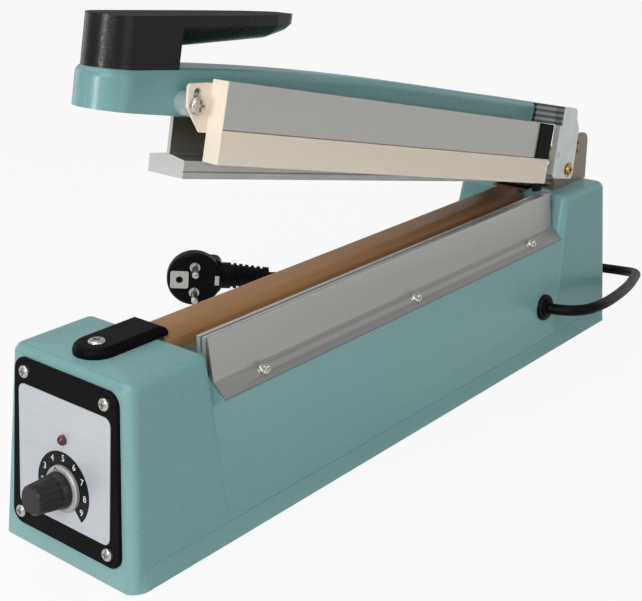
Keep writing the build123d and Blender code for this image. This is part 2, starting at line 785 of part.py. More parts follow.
# Inside the base
def timer_board():
    """Circuit board with relay, capacitors and a finned heat sink."""
    low = PLATE_TOP_Z + 8.0
    high = low + 1.6
    y0, y1 = BOARD_Y
    board = block(-32, 32, y0, y1, low, high)
    for x in (-28, 28):
        for y in (y0 + 4, y1 - 4):
            board -= rod((x, y, low - 1), (x, y, high + 1), 3.2)
    relay = block(-24, -5, y0 + 8, y0 + 24, high, high + 15)
    sink = block(2, 26, y0 + 8, y0 + 20, high, high + 3)
    for i in range(5):
        fin_x = 2 + i * 5.6
        sink += block(fin_x, fin_x + 1.6, y0 + 8, y0 + 20, high, high + 22)
    row = y0 + 42
    cans = [rod((x, row, high), (x, row, high + h), d) for x, d, h in ((-18, 12, 20), (-2, 10, 16), (12, 8, 12))]
    plug = block(-26, 20, y1 - 14, y1 - 6, high, high + 9)
    return group(board, relay, sink, plug, *cans)


def transformer_core():
    core = block(-30, 30, 240, 272, PLATE_TOP_Z, PLATE_TOP_Z + 50)
    for x in (-20, 10):
        core -= block(x, x + 10, 239, 273, PLATE_TOP_Z + 10, PLATE_TOP_Z + 40)
    for x0, x1 in ((-40, -30), (30, 40)):
        flange = block(x0, x1, 246, 266, PLATE_TOP_Z, PLATE_TOP_Z + 1.5)
        x = (x0 + x1) / 2
        core += flange - rod((x, 256, 0), (x, 256, PLATE_TOP_Z + 4), 4.2)
    return core


def transformer_coil():
    low = PLATE_TOP_Z + 10.2
    high = PLATE_TOP_Z + 39.8
    coil = block(-19.8, 19.8, 230, 282, low, high)
    coil = fillet(coil.edges().filter_by(Axis.Z), 4.0)
    return coil - block(-10.1, 10.1, 239.8, 272.2, low - 1, high + 1)


def terminal_block():
    low = PLATE_TOP_Z
    body = block(-28, -12, 300, 344, low, low + 14)
    for i in range(5):
        y = 306 + i * 8
        body -= rod((-24, y, low + 8), (-24, y, low + 15), 3.6)
        body -= rod((-16, y, low + 8), (-16, y, low + 15), 3.6)
    return body


def internal_screws():
    """Screws and posts that hold the board, the transformer and the switch."""
    pieces = []
    for x in (-35, 35):
        at = facing(x, 256, PLATE_TOP_Z + 1.5, (0, 0, 1))
        pieces.append(at * screw(7.0, 2.4, 4.0, 1.4))
    for x in (-28, 28):
        for y in (BOARD_Y[0] + 4, BOARD_Y[1] - 4):
            post = rod((x, y, PLATE_TOP_Z), (x, y, PLATE_TOP_Z + 8), 6.0)
            post += rod((x, y, PLATE_TOP_Z), (x, y, PLATE_TOP_Z + 9.6), 3.1)
            post += facing(x, y, PLATE_TOP_Z + 9.6, (0, 0, 1)) * screw(5.6, 1.8, 3.0, 2.0)
            pieces.append(post)
    for y in (rod_y() - 10, rod_y() + 10):
        at = facing(ROD_X, y, PLATE_TOP_Z + SWITCH_H, (0, 0, 1))
        pieces.append(at * screw(4.6, 1.6, 2.4, SWITCH_H))
    return group(*pieces)


def microswitch():
    y = rod_y()
    high = PLATE_TOP_Z + SWITCH_H
    body = block(ROD_X - 5, ROD_X + 5, y - 14, y + 14, PLATE_TOP_Z, high)
    body -= rod((ROD_X, y, high - 5.5), (ROD_X, y, high + 1), PLUNGER_D + 2 * RUN_GAP)
    for end in (y - 10, y + 10):
        body -= rod((ROD_X, end, 0), (ROD_X, end, high + 1), 2.4 + 2 * RUN_GAP)
    return body


def switch_plunger():
    high = PLATE_TOP_Z + SWITCH_H
    return rod((ROD_X, rod_y(), high - 4), (ROD_X, rod_y(), high + PLUNGER_REACH), PLUNGER_D)


def lift_rod():
    """Rod pushed down by the arm's lug, with a cap, a spring collar and a tail."""
    y = rod_y()
    top = rod_top()
    travel = LEVER * math.radians(CLOSE_TRAVEL_DEG)
    tail = PLATE_TOP_Z + SWITCH_H + PLUNGER_REACH + travel - PLUNGER_TRAVEL + SEAT_GAP
    shaft = rod((ROD_X, y, tail), (ROD_X, y, top), ROD_D)
    cap = rod((ROD_X, y, top - ROD_CAP_H), (ROD_X, y, top), ROD_CAP_D)
    collar_z = LEDGE_TOP + SPRING_LEN
    return shaft + cap + rod((ROD_X, y, collar_z), (ROD_X, y, collar_z + COLLAR_T), COLLAR_D)


def spring_between(x, y, low, high, outer, wire, turns, name):
    """Open wound spring with flat ground ends between two seats."""
    radius = (outer - wire) / 2
    pitch = (high - low) / turns
    tube, path = helix_tube((x, y), radius, low, pitch, turns, 0, wire, 0)
    print(name, "least gap", round(least_gap(path, wire, 2 * math.pi * radius, 300), 2))
    return tube & block(x - outer, x + outer, y - outer, y + outer, low, high)


def return_spring():
    return spring_between(ROD_X, rod_y(), LEDGE_TOP, LEDGE_TOP + SPRING_LEN, SPRING_D,
                          SPRING_WIRE, SPRING_TURNS, "return spring")


# Sealing bar and what lies on it
def arch_section(half, top, low, radius):
    """Outline of a bar with rounded upper corners."""
    bar = slab_y([(-half, low), (half, low), (half, top), (-half, top)], BAR_START, BAR_END)
    edges = bar.edges().filter_by(Axis.Y).sort_by(Axis.Z)[-2:]
    return fillet(edges, radius)


def seal_bar():
    bar = arch_section(BAR_HALF, HEAD_TOP, MID_TOP, BAR_R)
    bar -= block(-GROOVE_HALF, GROOVE_HALF, BAR_START - 1, BAR_END + 1, HEAD_TOP - GROOVE_DEPTH, HEAD_TOP + 1)
    for y in BAR_SCREW_YS:
        bar -= rod((0, y, MID_TOP - 1), (0, y, MID_TOP + 9), 4.0 + 2 * RUN_GAP)
    return bar


def bar_screws():
    roof = MID_TOP - WALL
    return group(*[facing(0, y, roof, (0, 0, -1)) * screw(7.0, 2.4, 4.0, WALL + 8) for y in BAR_SCREW_YS])


def insulating_strip():
    low = HEAD_TOP - GROOVE_DEPTH
    return block(-GROOVE_HALF + RUN_GAP, GROOVE_HALF - RUN_GAP, ANCHOR_FRONT[1] + CLEAR,
                 ANCHOR_REAR[0] - CLEAR, low, low + STRIP_T)


def heating_wire():
    return block(-WIRE_HALF, WIRE_HALF, ANCHOR_FRONT[0], ANCHOR_REAR[1], HEAD_TOP - WIRE_T, HEAD_TOP)


def wire_anchors():
    high = HEAD_TOP - WIRE_T
    half = GROOVE_HALF - RUN_GAP
    return group(*[block(-half, half, y0, y1, high - ANCHOR_T, high) for y0, y1 in (ANCHOR_FRONT, ANCHOR_REAR)])


def ptfe_tape():
    """Tape wrapped over the bar, with flat tongues under both clamps."""
    outer = arch_section(BAR_HALF + TAPE_T, TAPE_TOP, TAPE_LOW, BAR_R + TAPE_T)
    tape = outer - arch_section(BAR_HALF, HEAD_TOP, TAPE_LOW - 1, BAR_R)
    tape += block(-TONGUE_HALF, TONGUE_HALF, FRONT_CLAMP_Y[1] - 18, BAR_START, HEAD_TOP, TAPE_TOP)
    tape += block(-BAR_HALF, BAR_HALF, BAR_END, REAR_CLAMP_Y[0] - CLEAR, HEAD_TOP, TAPE_TOP)
    tape += block(-TONGUE_HALF, TONGUE_HALF, BAR_END, REAR_CLAMP_Y[1] - 2, HEAD_TOP, TAPE_TOP)
    for x in (-REAR_SCREW_X, REAR_SCREW_X):
        tape -= rod((x, REAR_SCREW_Y, HEAD_TOP - 1), (x, REAR_SCREW_Y, HEAD_TOP + 2), 2.8)
    return tape


def tape_pocket(y0, y1):
    """Shallow recess under a clamp for the tape's tongue."""
    return block(-TONGUE_HALF - CLEAR, TONGUE_HALF + CLEAR, y0, y1, HEAD_TOP - 1, TAPE_TOP + RUN_GAP)


def front_clamp():
    half = FRONT_CLAMP_W / 2
    y0, y1 = FRONT_CLAMP_Y
    plan = Pos(0, y0 + half) * Circle(half) + Pos(0, (y0 + half + y1) / 2) * Rectangle(2 * half, y1 - y0 - half)
    clamp = extrude(Plane.XY.offset(HEAD_TOP) * plan, amount=FRONT_CLAMP_H)
    clamp = fillet(clamp.faces().sort_by(Axis.Z)[-1].edges(), CLAMP_EDGE_R)
    clamp -= tape_pocket(y1 - 18 - CLEAR, y1 + 1)
    seat = HEAD_TOP + FRONT_CLAMP_H - 1.3
    clamp -= rod((0, CLAMP_SCREW_Y, seat), (0, CLAMP_SCREW_Y, seat + 5), 8.8)
    return clamp - rod((0, CLAMP_SCREW_Y, HEAD_TOP - 1), (0, CLAMP_SCREW_Y, seat + 1), 4.2)


def front_clamp_screw():
    seat = HEAD_TOP + FRONT_CLAMP_H - 1.3
    return facing(0, CLAMP_SCREW_Y, seat, (0, 0, 1)) * screw(8.4, 2.2, 4.0, 14.0)


def rear_clamp():
    half = REAR_CLAMP_W / 2
    y0, y1 = REAR_CLAMP_Y
    clamp = block(-half, half, y0, y1, HEAD_TOP, HEAD_TOP + REAR_CLAMP_H)
    clamp = fillet(clamp.edges().filter_by(Axis.Z), 2.0)
    clamp = chamfer(clamp.faces().sort_by(Axis.Z)[-1].edges(), 0.6)
    clamp -= tape_pocket(y0 - 1, y1 - 2 + CLEAR)
    for x in (-REAR_SCREW_X, REAR_SCREW_X):
        clamp -= rod((x, REAR_SCREW_Y, HEAD_TOP - 1), (x, REAR_SCREW_Y, HEAD_TOP + 5), 2.6)
    return clamp


def rear_clamp_screws():
    high = HEAD_TOP + REAR_CLAMP_H
    one = screw(4.8, 1.6, 2.4, 9.0)
    return group(*[Pos(x, REAR_SCREW_Y, high) * one for x in (-REAR_SCREW_X, REAR_SCREW_X)])


def sheet_inner():
    """Inner face of the side plate, found from its outer face and thickness."""
    corners = [Vector(*PLATE_TOP), Vector(*PLATE_BEND), Vector(*PLATE_LOW)]
    ways = [(corners[i + 1] - corners[i]).normalized() for i in range(2)]
    normals = [Vector(way.Y, -way.X) for way in ways]
    miter = (normals[0] + normals[1]) / (1 + normals[0].dot(normals[1]))
    shifts = [normals[0], miter, normals[1]]
    inner = [corner + shift * SIDE_PLATE_T for corner, shift in zip(corners, shifts)]
    return [(point.X, point.Y) for point in inner]


def side_plate():
    points = [PLATE_TOP, PLATE_BEND, PLATE_LOW] + sheet_inner()[::-1]
    plate = slab_y(points, VALLEY_START, VALLEY_END)
    for plane in side_screw_planes():
        plate -= plane * Cylinder(1.7 + CLEAR, 4 * SIDE_PLATE_T)
    return plate


def side_screw_planes():
    """Planes on the outer face of the side plate's lower strip."""
    angle = shoulder_angle()
    x = PLATE_BEND[0] + SIDE_SCREW_DROP * math.cos(angle)
    z = PLATE_BEND[1] - SIDE_SCREW_DROP * math.sin(angle)
    return [facing(x, y, z, (math.sin(angle), 0, math.cos(angle))) for y in SIDE_SCREW_YS]


def side_plate_screws():
    one = screw(6.8, 1.9, 3.4, 8.0)
    return group(*[plane * one for plane in side_screw_planes()])


def cutting_strips():
    """Two upright strips with the blade's groove between them, and their spacer."""
    outer = PLATE_TOP[0] - SIDE_PLATE_T - CLEAR
    walls = (outer - 2 * STRIP_W - GROOVE_W, outer - STRIP_W)
    pieces = [block(x, x + STRIP_W, VALLEY_START, VALLEY_END, MID_TOP, STRIP_TOP) for x in walls]
    inner = walls[0] + STRIP_W
    pieces.append(block(inner, inner + GROOVE_W, VALLEY_START, VALLEY_END, MID_TOP, GROOVE_FLOOR))
    return group(*pieces)


# Hinge on the rear head
def hinge_bracket():
    """Sheet base with two upright ears."""
    outer = EAR_X + EAR_T
    bracket = block(-outer, outer, REAR_CLAMP_Y[1] + 0.5, EAR_Y[1], HEAD_TOP, HEAD_TOP + BRACKET_T)
    for x in (-outer, EAR_X):
        ear = block(x, x + EAR_T, EAR_Y[0], EAR_Y[1], HEAD_TOP, EAR_TOP)
        ear = fillet(ear.edges().filter_by(Axis.X).sort_by(Axis.Z)[-2:], EAR_R)
        bracket += ear
    for z in (121.0, 126.5):
        bracket -= rod((-outer - 1, EAR_HOLE_Y, z), (outer + 1, EAR_HOLE_Y, z), 2.4)
    bracket -= rod((-outer - 1, AXIS_Y, AXIS_Z), (outer + 1, AXIS_Y, AXIS_Z), 6.0 + 2 * RUN_GAP)
    for x, y in BRACKET_SCREWS:
        bracket -= rod((x, y, HEAD_TOP - 1), (x, y, HEAD_TOP + BRACKET_T + 1), 4.2)
    return bracket


def hinge_bracket_screws():
    one = screw(7.4, 2.4, 4.0, 12.0)
    return group(*[Pos(x, y, HEAD_TOP + BRACKET_T) * one for x, y in BRACKET_SCREWS])


def pivot_screws():
    """Shoulder screws through the cheeks, each with a nut inside its ear."""
    outer = CHEEK_X + CHEEK_T - PIVOT_SINK
    pieces = []
    for side in (-1, 1):
        at = facing(side * outer, AXIS_Y, AXIS_Z, (side, 0, 0))
        pivot = at * screw(PIVOT_HEAD_D, PIVOT_HEAD_H, PIVOT_D, outer - EAR_X - EAR_T)
        pivot += rod((side * (EAR_X + EAR_T), AXIS_Y, AXIS_Z), (side * (EAR_X - 5), AXIS_Y, AXIS_Z), 6.0)
        nut = extrude(RegularPolygon(5.0, 6, major_radius=False), amount=4.0)
        nut -= Cylinder(3.0, 20)
        pieces.append(pivot)
        pieces.append(facing(side * EAR_X, AXIS_Y, AXIS_Z, (-side, 0, 0)) * nut)
    return group(*pieces)


# Arm, modelled closed and then tilted open
def arc_outline(drop, start, end, low):
    """Side outline under the arm's arched top, lowered by drop."""
    before, after = ARM_TOP_MORE
    points = [(start, ARM_TOP_FRONT), before, ARM_TOP_MID, after, (end, ARM_TOP_REAR)]
    top = Spline(*[(y, z - drop) for y, z in points])
    sides = Polyline((end, ARM_TOP_REAR - drop), (end, low), (start, low), (start, ARM_TOP_FRONT - drop))
    return make_face([top, sides])


def arm_front():
    return ARM_NOSE_Y - ARM_HALF


def arm_solid_closed():
    """Arm before its channel is hollowed out."""
    side = arc_outline(0, arm_front(), ARM_END, ARM_LOW)
    arm = extrude(Plane.YZ.offset(-ARM_HALF) * side, amount=2 * ARM_HALF)
    plan = Pos(0, ARM_NOSE_Y) * Circle(ARM_HALF)
    plan += Pos(0, (ARM_NOSE_Y + ARM_END) / 2) * Rectangle(2 * ARM_HALF, ARM_END - ARM_NOSE_Y)
    arm &= extrude(plan, amount=2 * ARM_TOP_MID[1])
    top = arm.faces().filter_by(lambda face: face.normal_at().Z > 0.9).sort_by(Axis.Z)[-1]
    edges = top.edges().filter_by(lambda edge: abs(edge.center().Y - ARM_END) > 1)
    return fillet(edges, ARM_EDGE_R)


def arm_casting_closed(arm):
    """Arm with its channel and the holes for what it carries."""
    inner = ARM_HALF - ARM_SIDE
    roof = arc_outline(ARM_SKIN, arm_front(), ARM_END, ARM_LOW - 1)
    channel = extrude(Plane.YZ.offset(-inner) * roof, amount=2 * inner)
    channel &= block(-ARM_HALF, ARM_HALF, ARM_NOSE_Y - inner / 2, ARM_END, 0, 2 * ARM_TOP_MID[1])
    arm -= channel
    for y in PIN_YS:
        arm -= rod((-inner - 2, y, PIN_Z), (inner + 2, y, PIN_Z), PIN_D)
    for y in HANDLE_SCREW_YS:
        arm -= rod((0, y, ARM_LOW), (0, y, ARM_TOP_MID[1] + 5), 4.2)
    arm -= rod((0, GUIDE_Y, GUIDE_Z), (ARM_HALF + 1, GUIDE_Y, GUIDE_Z), GUIDE_SHANK_D)
    for y in TONGUE_SCREW_YS:
        arm -= rod((0, y, ARM_LOW), (0, y, ARM_TOP_REAR - 1.5), 4.0)
    end = [(ARM_END, ARM_TOP_REAR), (ARM_END - ARM_END_LEAN, ARM_LOW - 1), (ARM_END + 1, ARM_LOW - 1),
           (ARM_END + 1, ARM_TOP_REAR)]
    return arm - slab_x(end, -ARM_HALF - 1, ARM_HALF + 1)


def handle_top(y):
    return HANDLE_TOP_Z + HANDLE_SLOPE * (y - HANDLE_TOP_Y)


def handle_section(y, half, keel):
    """Flat top, upright sides and a rounded belly."""
    top = handle_top(y)
    side = top - HANDLE_SIDE
    lines = Polyline((half, side), (half, top), (-half, top), (-half, side))
    belly = ThreePointArc((-half, side), (0, keel), (half, side))
    plane = Plane(origin=(0, y, 0), x_dir=(1, 0, 0), z_dir=(0, -1, 0))
    return plane * make_face([lines, belly])


def handle_closed():
    """Block on the arm's nose with a tongue that reaches back and up."""
    end = HANDLE_BLOCK_END
    plan = Pos(0, HANDLE_NOSE_Y) * Circle(HANDLE_HALF)
    plan += Pos(0, (HANDLE_NOSE_Y + end) / 2) * Rectangle(2 * HANDLE_HALF, end - HANDLE_NOSE_Y)
    high = 1.2 * HANDLE_TOP_Z
    grip = extrude(plan, amount=high)
    front = HANDLE_NOSE_Y - HANDLE_HALF - 1
    side = [(front, HANDLE_LOW), (front, handle_top(front)), (end, handle_top(end)), (end, HANDLE_LOW)]
    grip &= slab_x(side, -HANDLE_HALF, HANDLE_HALF)
    stations = (
        (end - 10, HANDLE_HALF, 160.0),
        (71.0, HANDLE_HALF, 161.4),
        (100.0, 13.8, 165.9),
        (123.0, 12.0, 169.5),
        (135.0, 9.0, 173.5),
        (141.0, 5.0, 177.4),
    )
    tongue = loft([handle_section(*station) for station in stations], ruled=True)
    return grip + tongue


def handle_cut(handle, arm_solid):
    """Seat the handle on the arm's arched top and drill it for its screws."""
    handle = handle - arm_solid
    for y in HANDLE_SCREW_YS:
        handle -= rod((0, y, ARM_LOW), (0, y, ARM_TOP_FRONT + 14), 4.0)
    return handle


def roof_z(y):
    """Height of the channel's roof over a place on the arm."""
    probe = Pos(0, y, 0) * Box(0.2, 0.2, 4 * ARM_TOP_MID[1])
    roof = arc_outline(ARM_SKIN, arm_front(), ARM_END, ARM_LOW)
    under = extrude(Plane.YZ.offset(-1) * roof, amount=2) & probe
    return under.bounding_box().max.Z


def handle_screws_closed():
    pieces = []
    for y in HANDLE_SCREW_YS:
        seat = roof_z(y - 3.6)
        pieces.append(facing(0, y, seat, (0, 0, -1)) * screw(7.0, 2.4, 4.0, ARM_TOP_FRONT + 13.5 - seat))
    return group(*pieces)


def cheek_outline():
    """Side view of a hinge cheek."""
    places = [
        (-19.6, 108.9),
        (-20.4, 140.4),
        (-20.0, FLARE_HIGH),
        (-5.0, FLARE_HIGH),
        (-1.6, 152.5),
        (0.1, 150.2),
        (0.6, 146.4),
        (5.4, 140.3),
        (7.3, 109.2),
        (5.8, 106.9),
        (-18.0, 106.9),
    ]
    return [(AXIS_Y + y, z) for y, z in places]


def hinge_casting_closed():
    """Tongue in the arm's channel, flare above, two cheeks and the lug over the rod."""
    outer = CHEEK_X + CHEEK_T
    half = ARM_HALF
    flare = slab_z(
        [(-half, FLARE_START), (half, FLARE_START), (outer, AXIS_Y - 16), (outer, AXIS_Y - 7),
         (-outer, AXIS_Y - 7), (-outer, AXIS_Y - 16)],
        FLARE_LOW, FLARE_HIGH)
    casting = flare
    for side in (-1, 1):
        x0, x1 = sorted((side * CHEEK_X, side * outer))
        cheek = slab_x(cheek_outline(), x0, x1)
        cheek -= rod((x0 - 1, AXIS_Y, AXIS_Z), (x1 + 1, AXIS_Y, AXIS_Z), PIVOT_D + 2 * RUN_GAP)
        sink = side * (outer - PIVOT_SINK)
        cheek -= rod((sink, AXIS_Y, AXIS_Z), (2 * side * outer, AXIS_Y, AXIS_Z), PIVOT_SINK_D)
        casting += cheek
    inner = ARM_HALF - ARM_SIDE - RUN_GAP
    casting += block(-inner, inner, ARM_END - 27, FLARE_START + 1, TONGUE_LOW, tongue_top())
    casting += rod_lug()
    casting -= rod((0, CUT_PIVOT_Y, CUT_PIVOT_Z), (outer + 1, CUT_PIVOT_Y, CUT_PIVOT_Z), 4.0)
    for y in TONGUE_SCREW_YS:
        casting -= rod((0, y, ARM_LOW), (0, y, ARM_TOP_REAR), 4.2)
    return casting


def tongue_top():
    """Top of the casting's tongue, under the channel's roof at the arm's end."""
    return ARM_TOP_REAR - ARM_SKIN - RUN_GAP


def rod_lug():
    """Round bar from the right cheek to over the lift rod."""
    half_turn = OPEN_DEG / 2
    y = AXIS_Y - LEVER * cos_deg(half_turn)
    z = AXIS_Z - LEVER * sin_deg(half_turn)
    return rod((LUG_X, y, z), (CHEEK_X + CHEEK_T / 2, y, z), 2 * LUG_R)


def casting_screws_closed():
    seat = TONGUE_LOW
    depth = ARM_TOP_REAR - 2 - seat
    return group(*[facing(0, y, seat, (0, 0, -1)) * screw(7.0, 2.4, 4.0, depth) for y in TONGUE_SCREW_YS])


def cutter_guide_closed():
    """Boss on the arm's side and the pan screw that the cutter's slot runs on."""
    inner_face = GUARD_X[0] - BRACKET_SHEET - CLEAR
    outer_face = GUARD_X[0] + CLEAR
    boss = rod((ARM_HALF, GUIDE_Y, GUIDE_Z), (inner_face, GUIDE_Y, GUIDE_Z), GUIDE_BOSS_D)
    boss -= rod((ARM_HALF - 1, GUIDE_Y, GUIDE_Z), (inner_face + 1, GUIDE_Y, GUIDE_Z), GUIDE_SHANK_D + 2 * RUN_GAP)
    at = facing(outer_face, GUIDE_Y, GUIDE_Z, (1, 0, 0))
    return group(boss, at * screw(8.7, 2.6, GUIDE_SHANK_D, outer_face - ARM_HALF + ARM_SIDE + 1))


def cutter_pivot_closed():
    """Headed pin with a shoulder that carries the cutter's rear end."""
    inner = GUARD_X[0] - BRACKET_SHEET - CLEAR
    outer = GUARD_X[0] + CLEAR
    pin = rod((inner, CUT_PIVOT_Y, CUT_PIVOT_Z), (CHEEK_X + CHEEK_T, CUT_PIVOT_Y, CUT_PIVOT_Z), 4.0)
    pin += rod((outer, CUT_PIVOT_Y, CUT_PIVOT_Z), (CHEEK_X, CUT_PIVOT_Y, CUT_PIVOT_Z), 7.0)
    return pin + rod((inner - 2, CUT_PIVOT_Y, CUT_PIVOT_Z), (inner, CUT_PIVOT_Y, CUT_PIVOT_Z), 7.0)


# Press bar
def press_bar_closed():
    """Inverted T section with slots for the guide pins and pockets for the springs."""
    low = PRESS_LOW
    high = low + PRESS_H
    line = low + PRESS_LINE
    half = PRESS_HALF
    section = [
        (-half, low),
        (half, low),
        (half, line - 0.4),
        (half - 0.5, line),
        (half, line + 0.4),
        (half, high - 1.5),
        (WEB_HALF + 2.0, high),
        (-WEB_HALF - 2.0, high),
        (-half, high - 1.5),
        (-half, line + 0.4),
        (-half + 0.5, line),
        (-half, line - 0.4),
    ]
    bar = slab_y(section, PRESS_START, PRESS_END)
    bar += block(-WEB_HALF, WEB_HALF, WEB_START, WEB_END, high - 1, WEB_TOP)
    groove_top = low - SILICONE_PROUD + SILICONE_T
    bar -= block(-SILICONE_HALF - RUN_GAP, SILICONE_HALF + RUN_GAP, PRESS_START + SILICONE_INSET,
                 PRESS_END + 1, low - 1, groove_top)
    slot = PIN_D / 2 + CLEAR
    for y in PIN_YS:
        bar -= block(-half, half, y - slot, y + slot, PIN_Z - PRESS_TRAVEL - slot, PIN_Z + slot)
    for y in PUSH_YS:
        bar -= block(-half, half, y - PUSH_D / 2 - 1, y + PUSH_D / 2 + 1, PUSH_SEAT, WEB_TOP + 1)
    return bar


def silicone_strip_closed():
    low = PRESS_LOW - SILICONE_PROUD
    return block(-SILICONE_HALF, SILICONE_HALF, PRESS_START + SILICONE_INSET + CLEAR, PRESS_END,
                 low, low + SILICONE_T)


def guide_pins_closed():
    reach = ARM_HALF - ARM_SIDE + 2
    return group(*[rod((-reach, y, PIN_Z), (reach, y, PIN_Z), PIN_D) for y in PIN_YS])


def press_springs_closed():
    pieces = []
    for y in PUSH_YS:
        pieces.append(spring_between(0, y, PUSH_SEAT, PUSH_SEAT + PUSH_LEN, PUSH_D, PUSH_WIRE,
                                     PUSH_TURNS, "press spring"))
    return group(*pieces)


# Side cutter
def guard_profile_closed():
    """Drawn section with a rebate for the cover plate and a slot for the blade."""
    x0, x1 = GUARD_X
    b0, b1 = BLADE_X
    y0, y1 = GUARD_Y
    low = GUARD_LOW
    mouth = 0.3
    fit = 0.02
    section = [
        (x0, low),
        (x1, low),
        (x1, low + REBATE_LOW),
        (x1 - REBATE_DEPTH, low + REBATE_LOW),
        (x1 - REBATE_DEPTH, low + REBATE_HIGH),
        (x0, low + REBATE_HIGH),
    ]
    guard = slab_y(section, y0, y1)
    guard += block(x0, x1, y0, y0 + GUARD_END_WALL, low + REBATE_LOW - 1, low + GUARD_H)
    start = y0 + 2.0
    guard -= block(b0 - fit, b1 + fit, start, y1 + 1, low - 1, low + BLADE_H)
    return guard - block(b0 - mouth, b1 + mouth, start, y1 + 1, low - 1, low + 3.5)


def cover_plate_closed():
    """Angle sheet over the guard's outer side and its top."""
    x = GUARD_X[1] - REBATE_DEPTH
    y0 = GUARD_Y[0] + GUARD_END_WALL + CLEAR
    side = block(x, x + COVER_T, y0, COVER_END, GUARD_LOW + REBATE_LOW + 0.5, GUARD_LOW + GUARD_H)
    return side + block(GUARD_X[0], x + COVER_T, y0, COVER_END, GUARD_LOW + REBATE_HIGH, GUARD_LOW + GUARD_H)


def end_cap_closed():
    """Black filler behind the cover plate, over the guard's side and top."""
    x = GUARD_X[1] - REBATE_DEPTH
    y0 = COVER_END + CLEAR
    cap = block(x, x + REBATE_DEPTH + 0.4, y0, CAP_END, GUARD_LOW + REBATE_LOW + CLEAR, GUARD_LOW + GUARD_H)
    cap = fillet(cap.edges().filter_by(Axis.X), 0.8)
    return cap + block(GUARD_X[0], x + 1, y0, CAP_END, GUARD_LOW + REBATE_HIGH, GUARD_LOW + GUARD_H)


def cutter_blade_closed():
    b0, b1 = BLADE_X
    middle = (b0 + b1) / 2
    low = GUARD_LOW - BLADE_LOW
    high = GUARD_LOW + BLADE_H - CLEAR
    section = [(middle, low), (b1, low + 2.0), (b1, high), (b0, high), (b0, low + 2.0)]
    return slab_y(section, GUARD_Y[0] + 2.5, GUARD_Y[1] - 2.5)


def guard_brackets_closed():
    """Front plate with the guide slot, and rear plate on the pivot."""
    x1 = GUARD_X[0]
    x0 = x1 - BRACKET_SHEET
    front = slab_x(
        [(55.0, 145.7), (68.0, 147.0), (94.0, 146.4), (94.0, 124.7), (65.3, 124.6), (55.9, 135.2)], x0, x1)
    front = fillet(front.edges().filter_by(Axis.X).sort_by(Axis.Y)[:2], 2.0)
    width = GUIDE_SHANK_D / 2 + SEAT_GAP + CLEAR
    top = GUIDE_Z + GUIDE_TRAVEL
    front -= block(x0 - 1, x1 + 1, GUIDE_Y - width, GUIDE_Y + width, GUIDE_Z, top)
    for z in (GUIDE_Z, top):
        front -= rod((x0 - 1, GUIDE_Y, z), (x1 + 1, GUIDE_Y, z), 2 * width)
    rear = block(x0, x1, CUT_PIVOT_Y - 49.5, CUT_PIVOT_Y, CUT_PIVOT_Z - 5, CUT_PIVOT_Z + 5)
    rear += rod((x0, CUT_PIVOT_Y, CUT_PIVOT_Z), (x1, CUT_PIVOT_Y, CUT_PIVOT_Z), 10.0)
    rear -= rod((x0 - 1, CUT_PIVOT_Y, CUT_PIVOT_Z), (x1 + 1, CUT_PIVOT_Y, CUT_PIVOT_Z), 4.0 + 2 * RUN_GAP)
    return group(front, rear)


# Mains lead and plug
def grommet():
    """Bush through the wall: outer flange with a domed nose, groove and inner lip."""
    nose = (Vector(*LEAD_ROUTE[0]) - grommet_plane().origin).length
    bush = Cylinder(GROMMET_D / 2, GROMMET_FLANGE, align=LOW_ALIGN)
    bush = fillet(bush.edges().sort_by(Axis.Z)[-1], 1.4)
    bush += Cylinder(GROMMET_NOSE_D / 2, nose, align=LOW_ALIGN)
    bush += Cylinder(GROMMET_NOSE_D / 2, WALL / cos_deg(MID_DRAFTS[1]), align=HIGH_ALIGN)
    bush += Pos(0, 0, -WALL) * Cone(GROMMET_NOSE_D / 2, GROMMET_NOSE_D / 2 + 1.2, 3.0, align=HIGH_ALIGN)
    bush -= Pos(0, 0, -WALL) * Cylinder(CORD_D / 2, 8 * WALL, align=HIGH_ALIGN)
    return grommet_plane() * bush


def cord_lead():
    return cord_tube(LEAD_ROUTE, CORD_D, "cord_lead")


def cord_tail():
    return cord_tube(TAIL_ROUTE, CORD_D, "cord_tail")


def cord_coil():
    tube, path = helix_tube((COIL_X, COIL_Y), COIL_R, COIL_LOW, COIL_PITCH, COIL_TURNS, 90, CORD_D, CORD_D)
    gap = least_gap(path, CORD_D, 2 * math.pi * COIL_R, 500)
    print("cord_coil length", round(path.length, 1), "least gap", round(gap, 2))
    expected = math.pi * CORD_D ** 2 / 4 * path.length
    print("cord_coil volume ratio", round(tube.volume / expected, 4))
    print("cord_coil ends", path @ 0, path @ 1)
    return tube


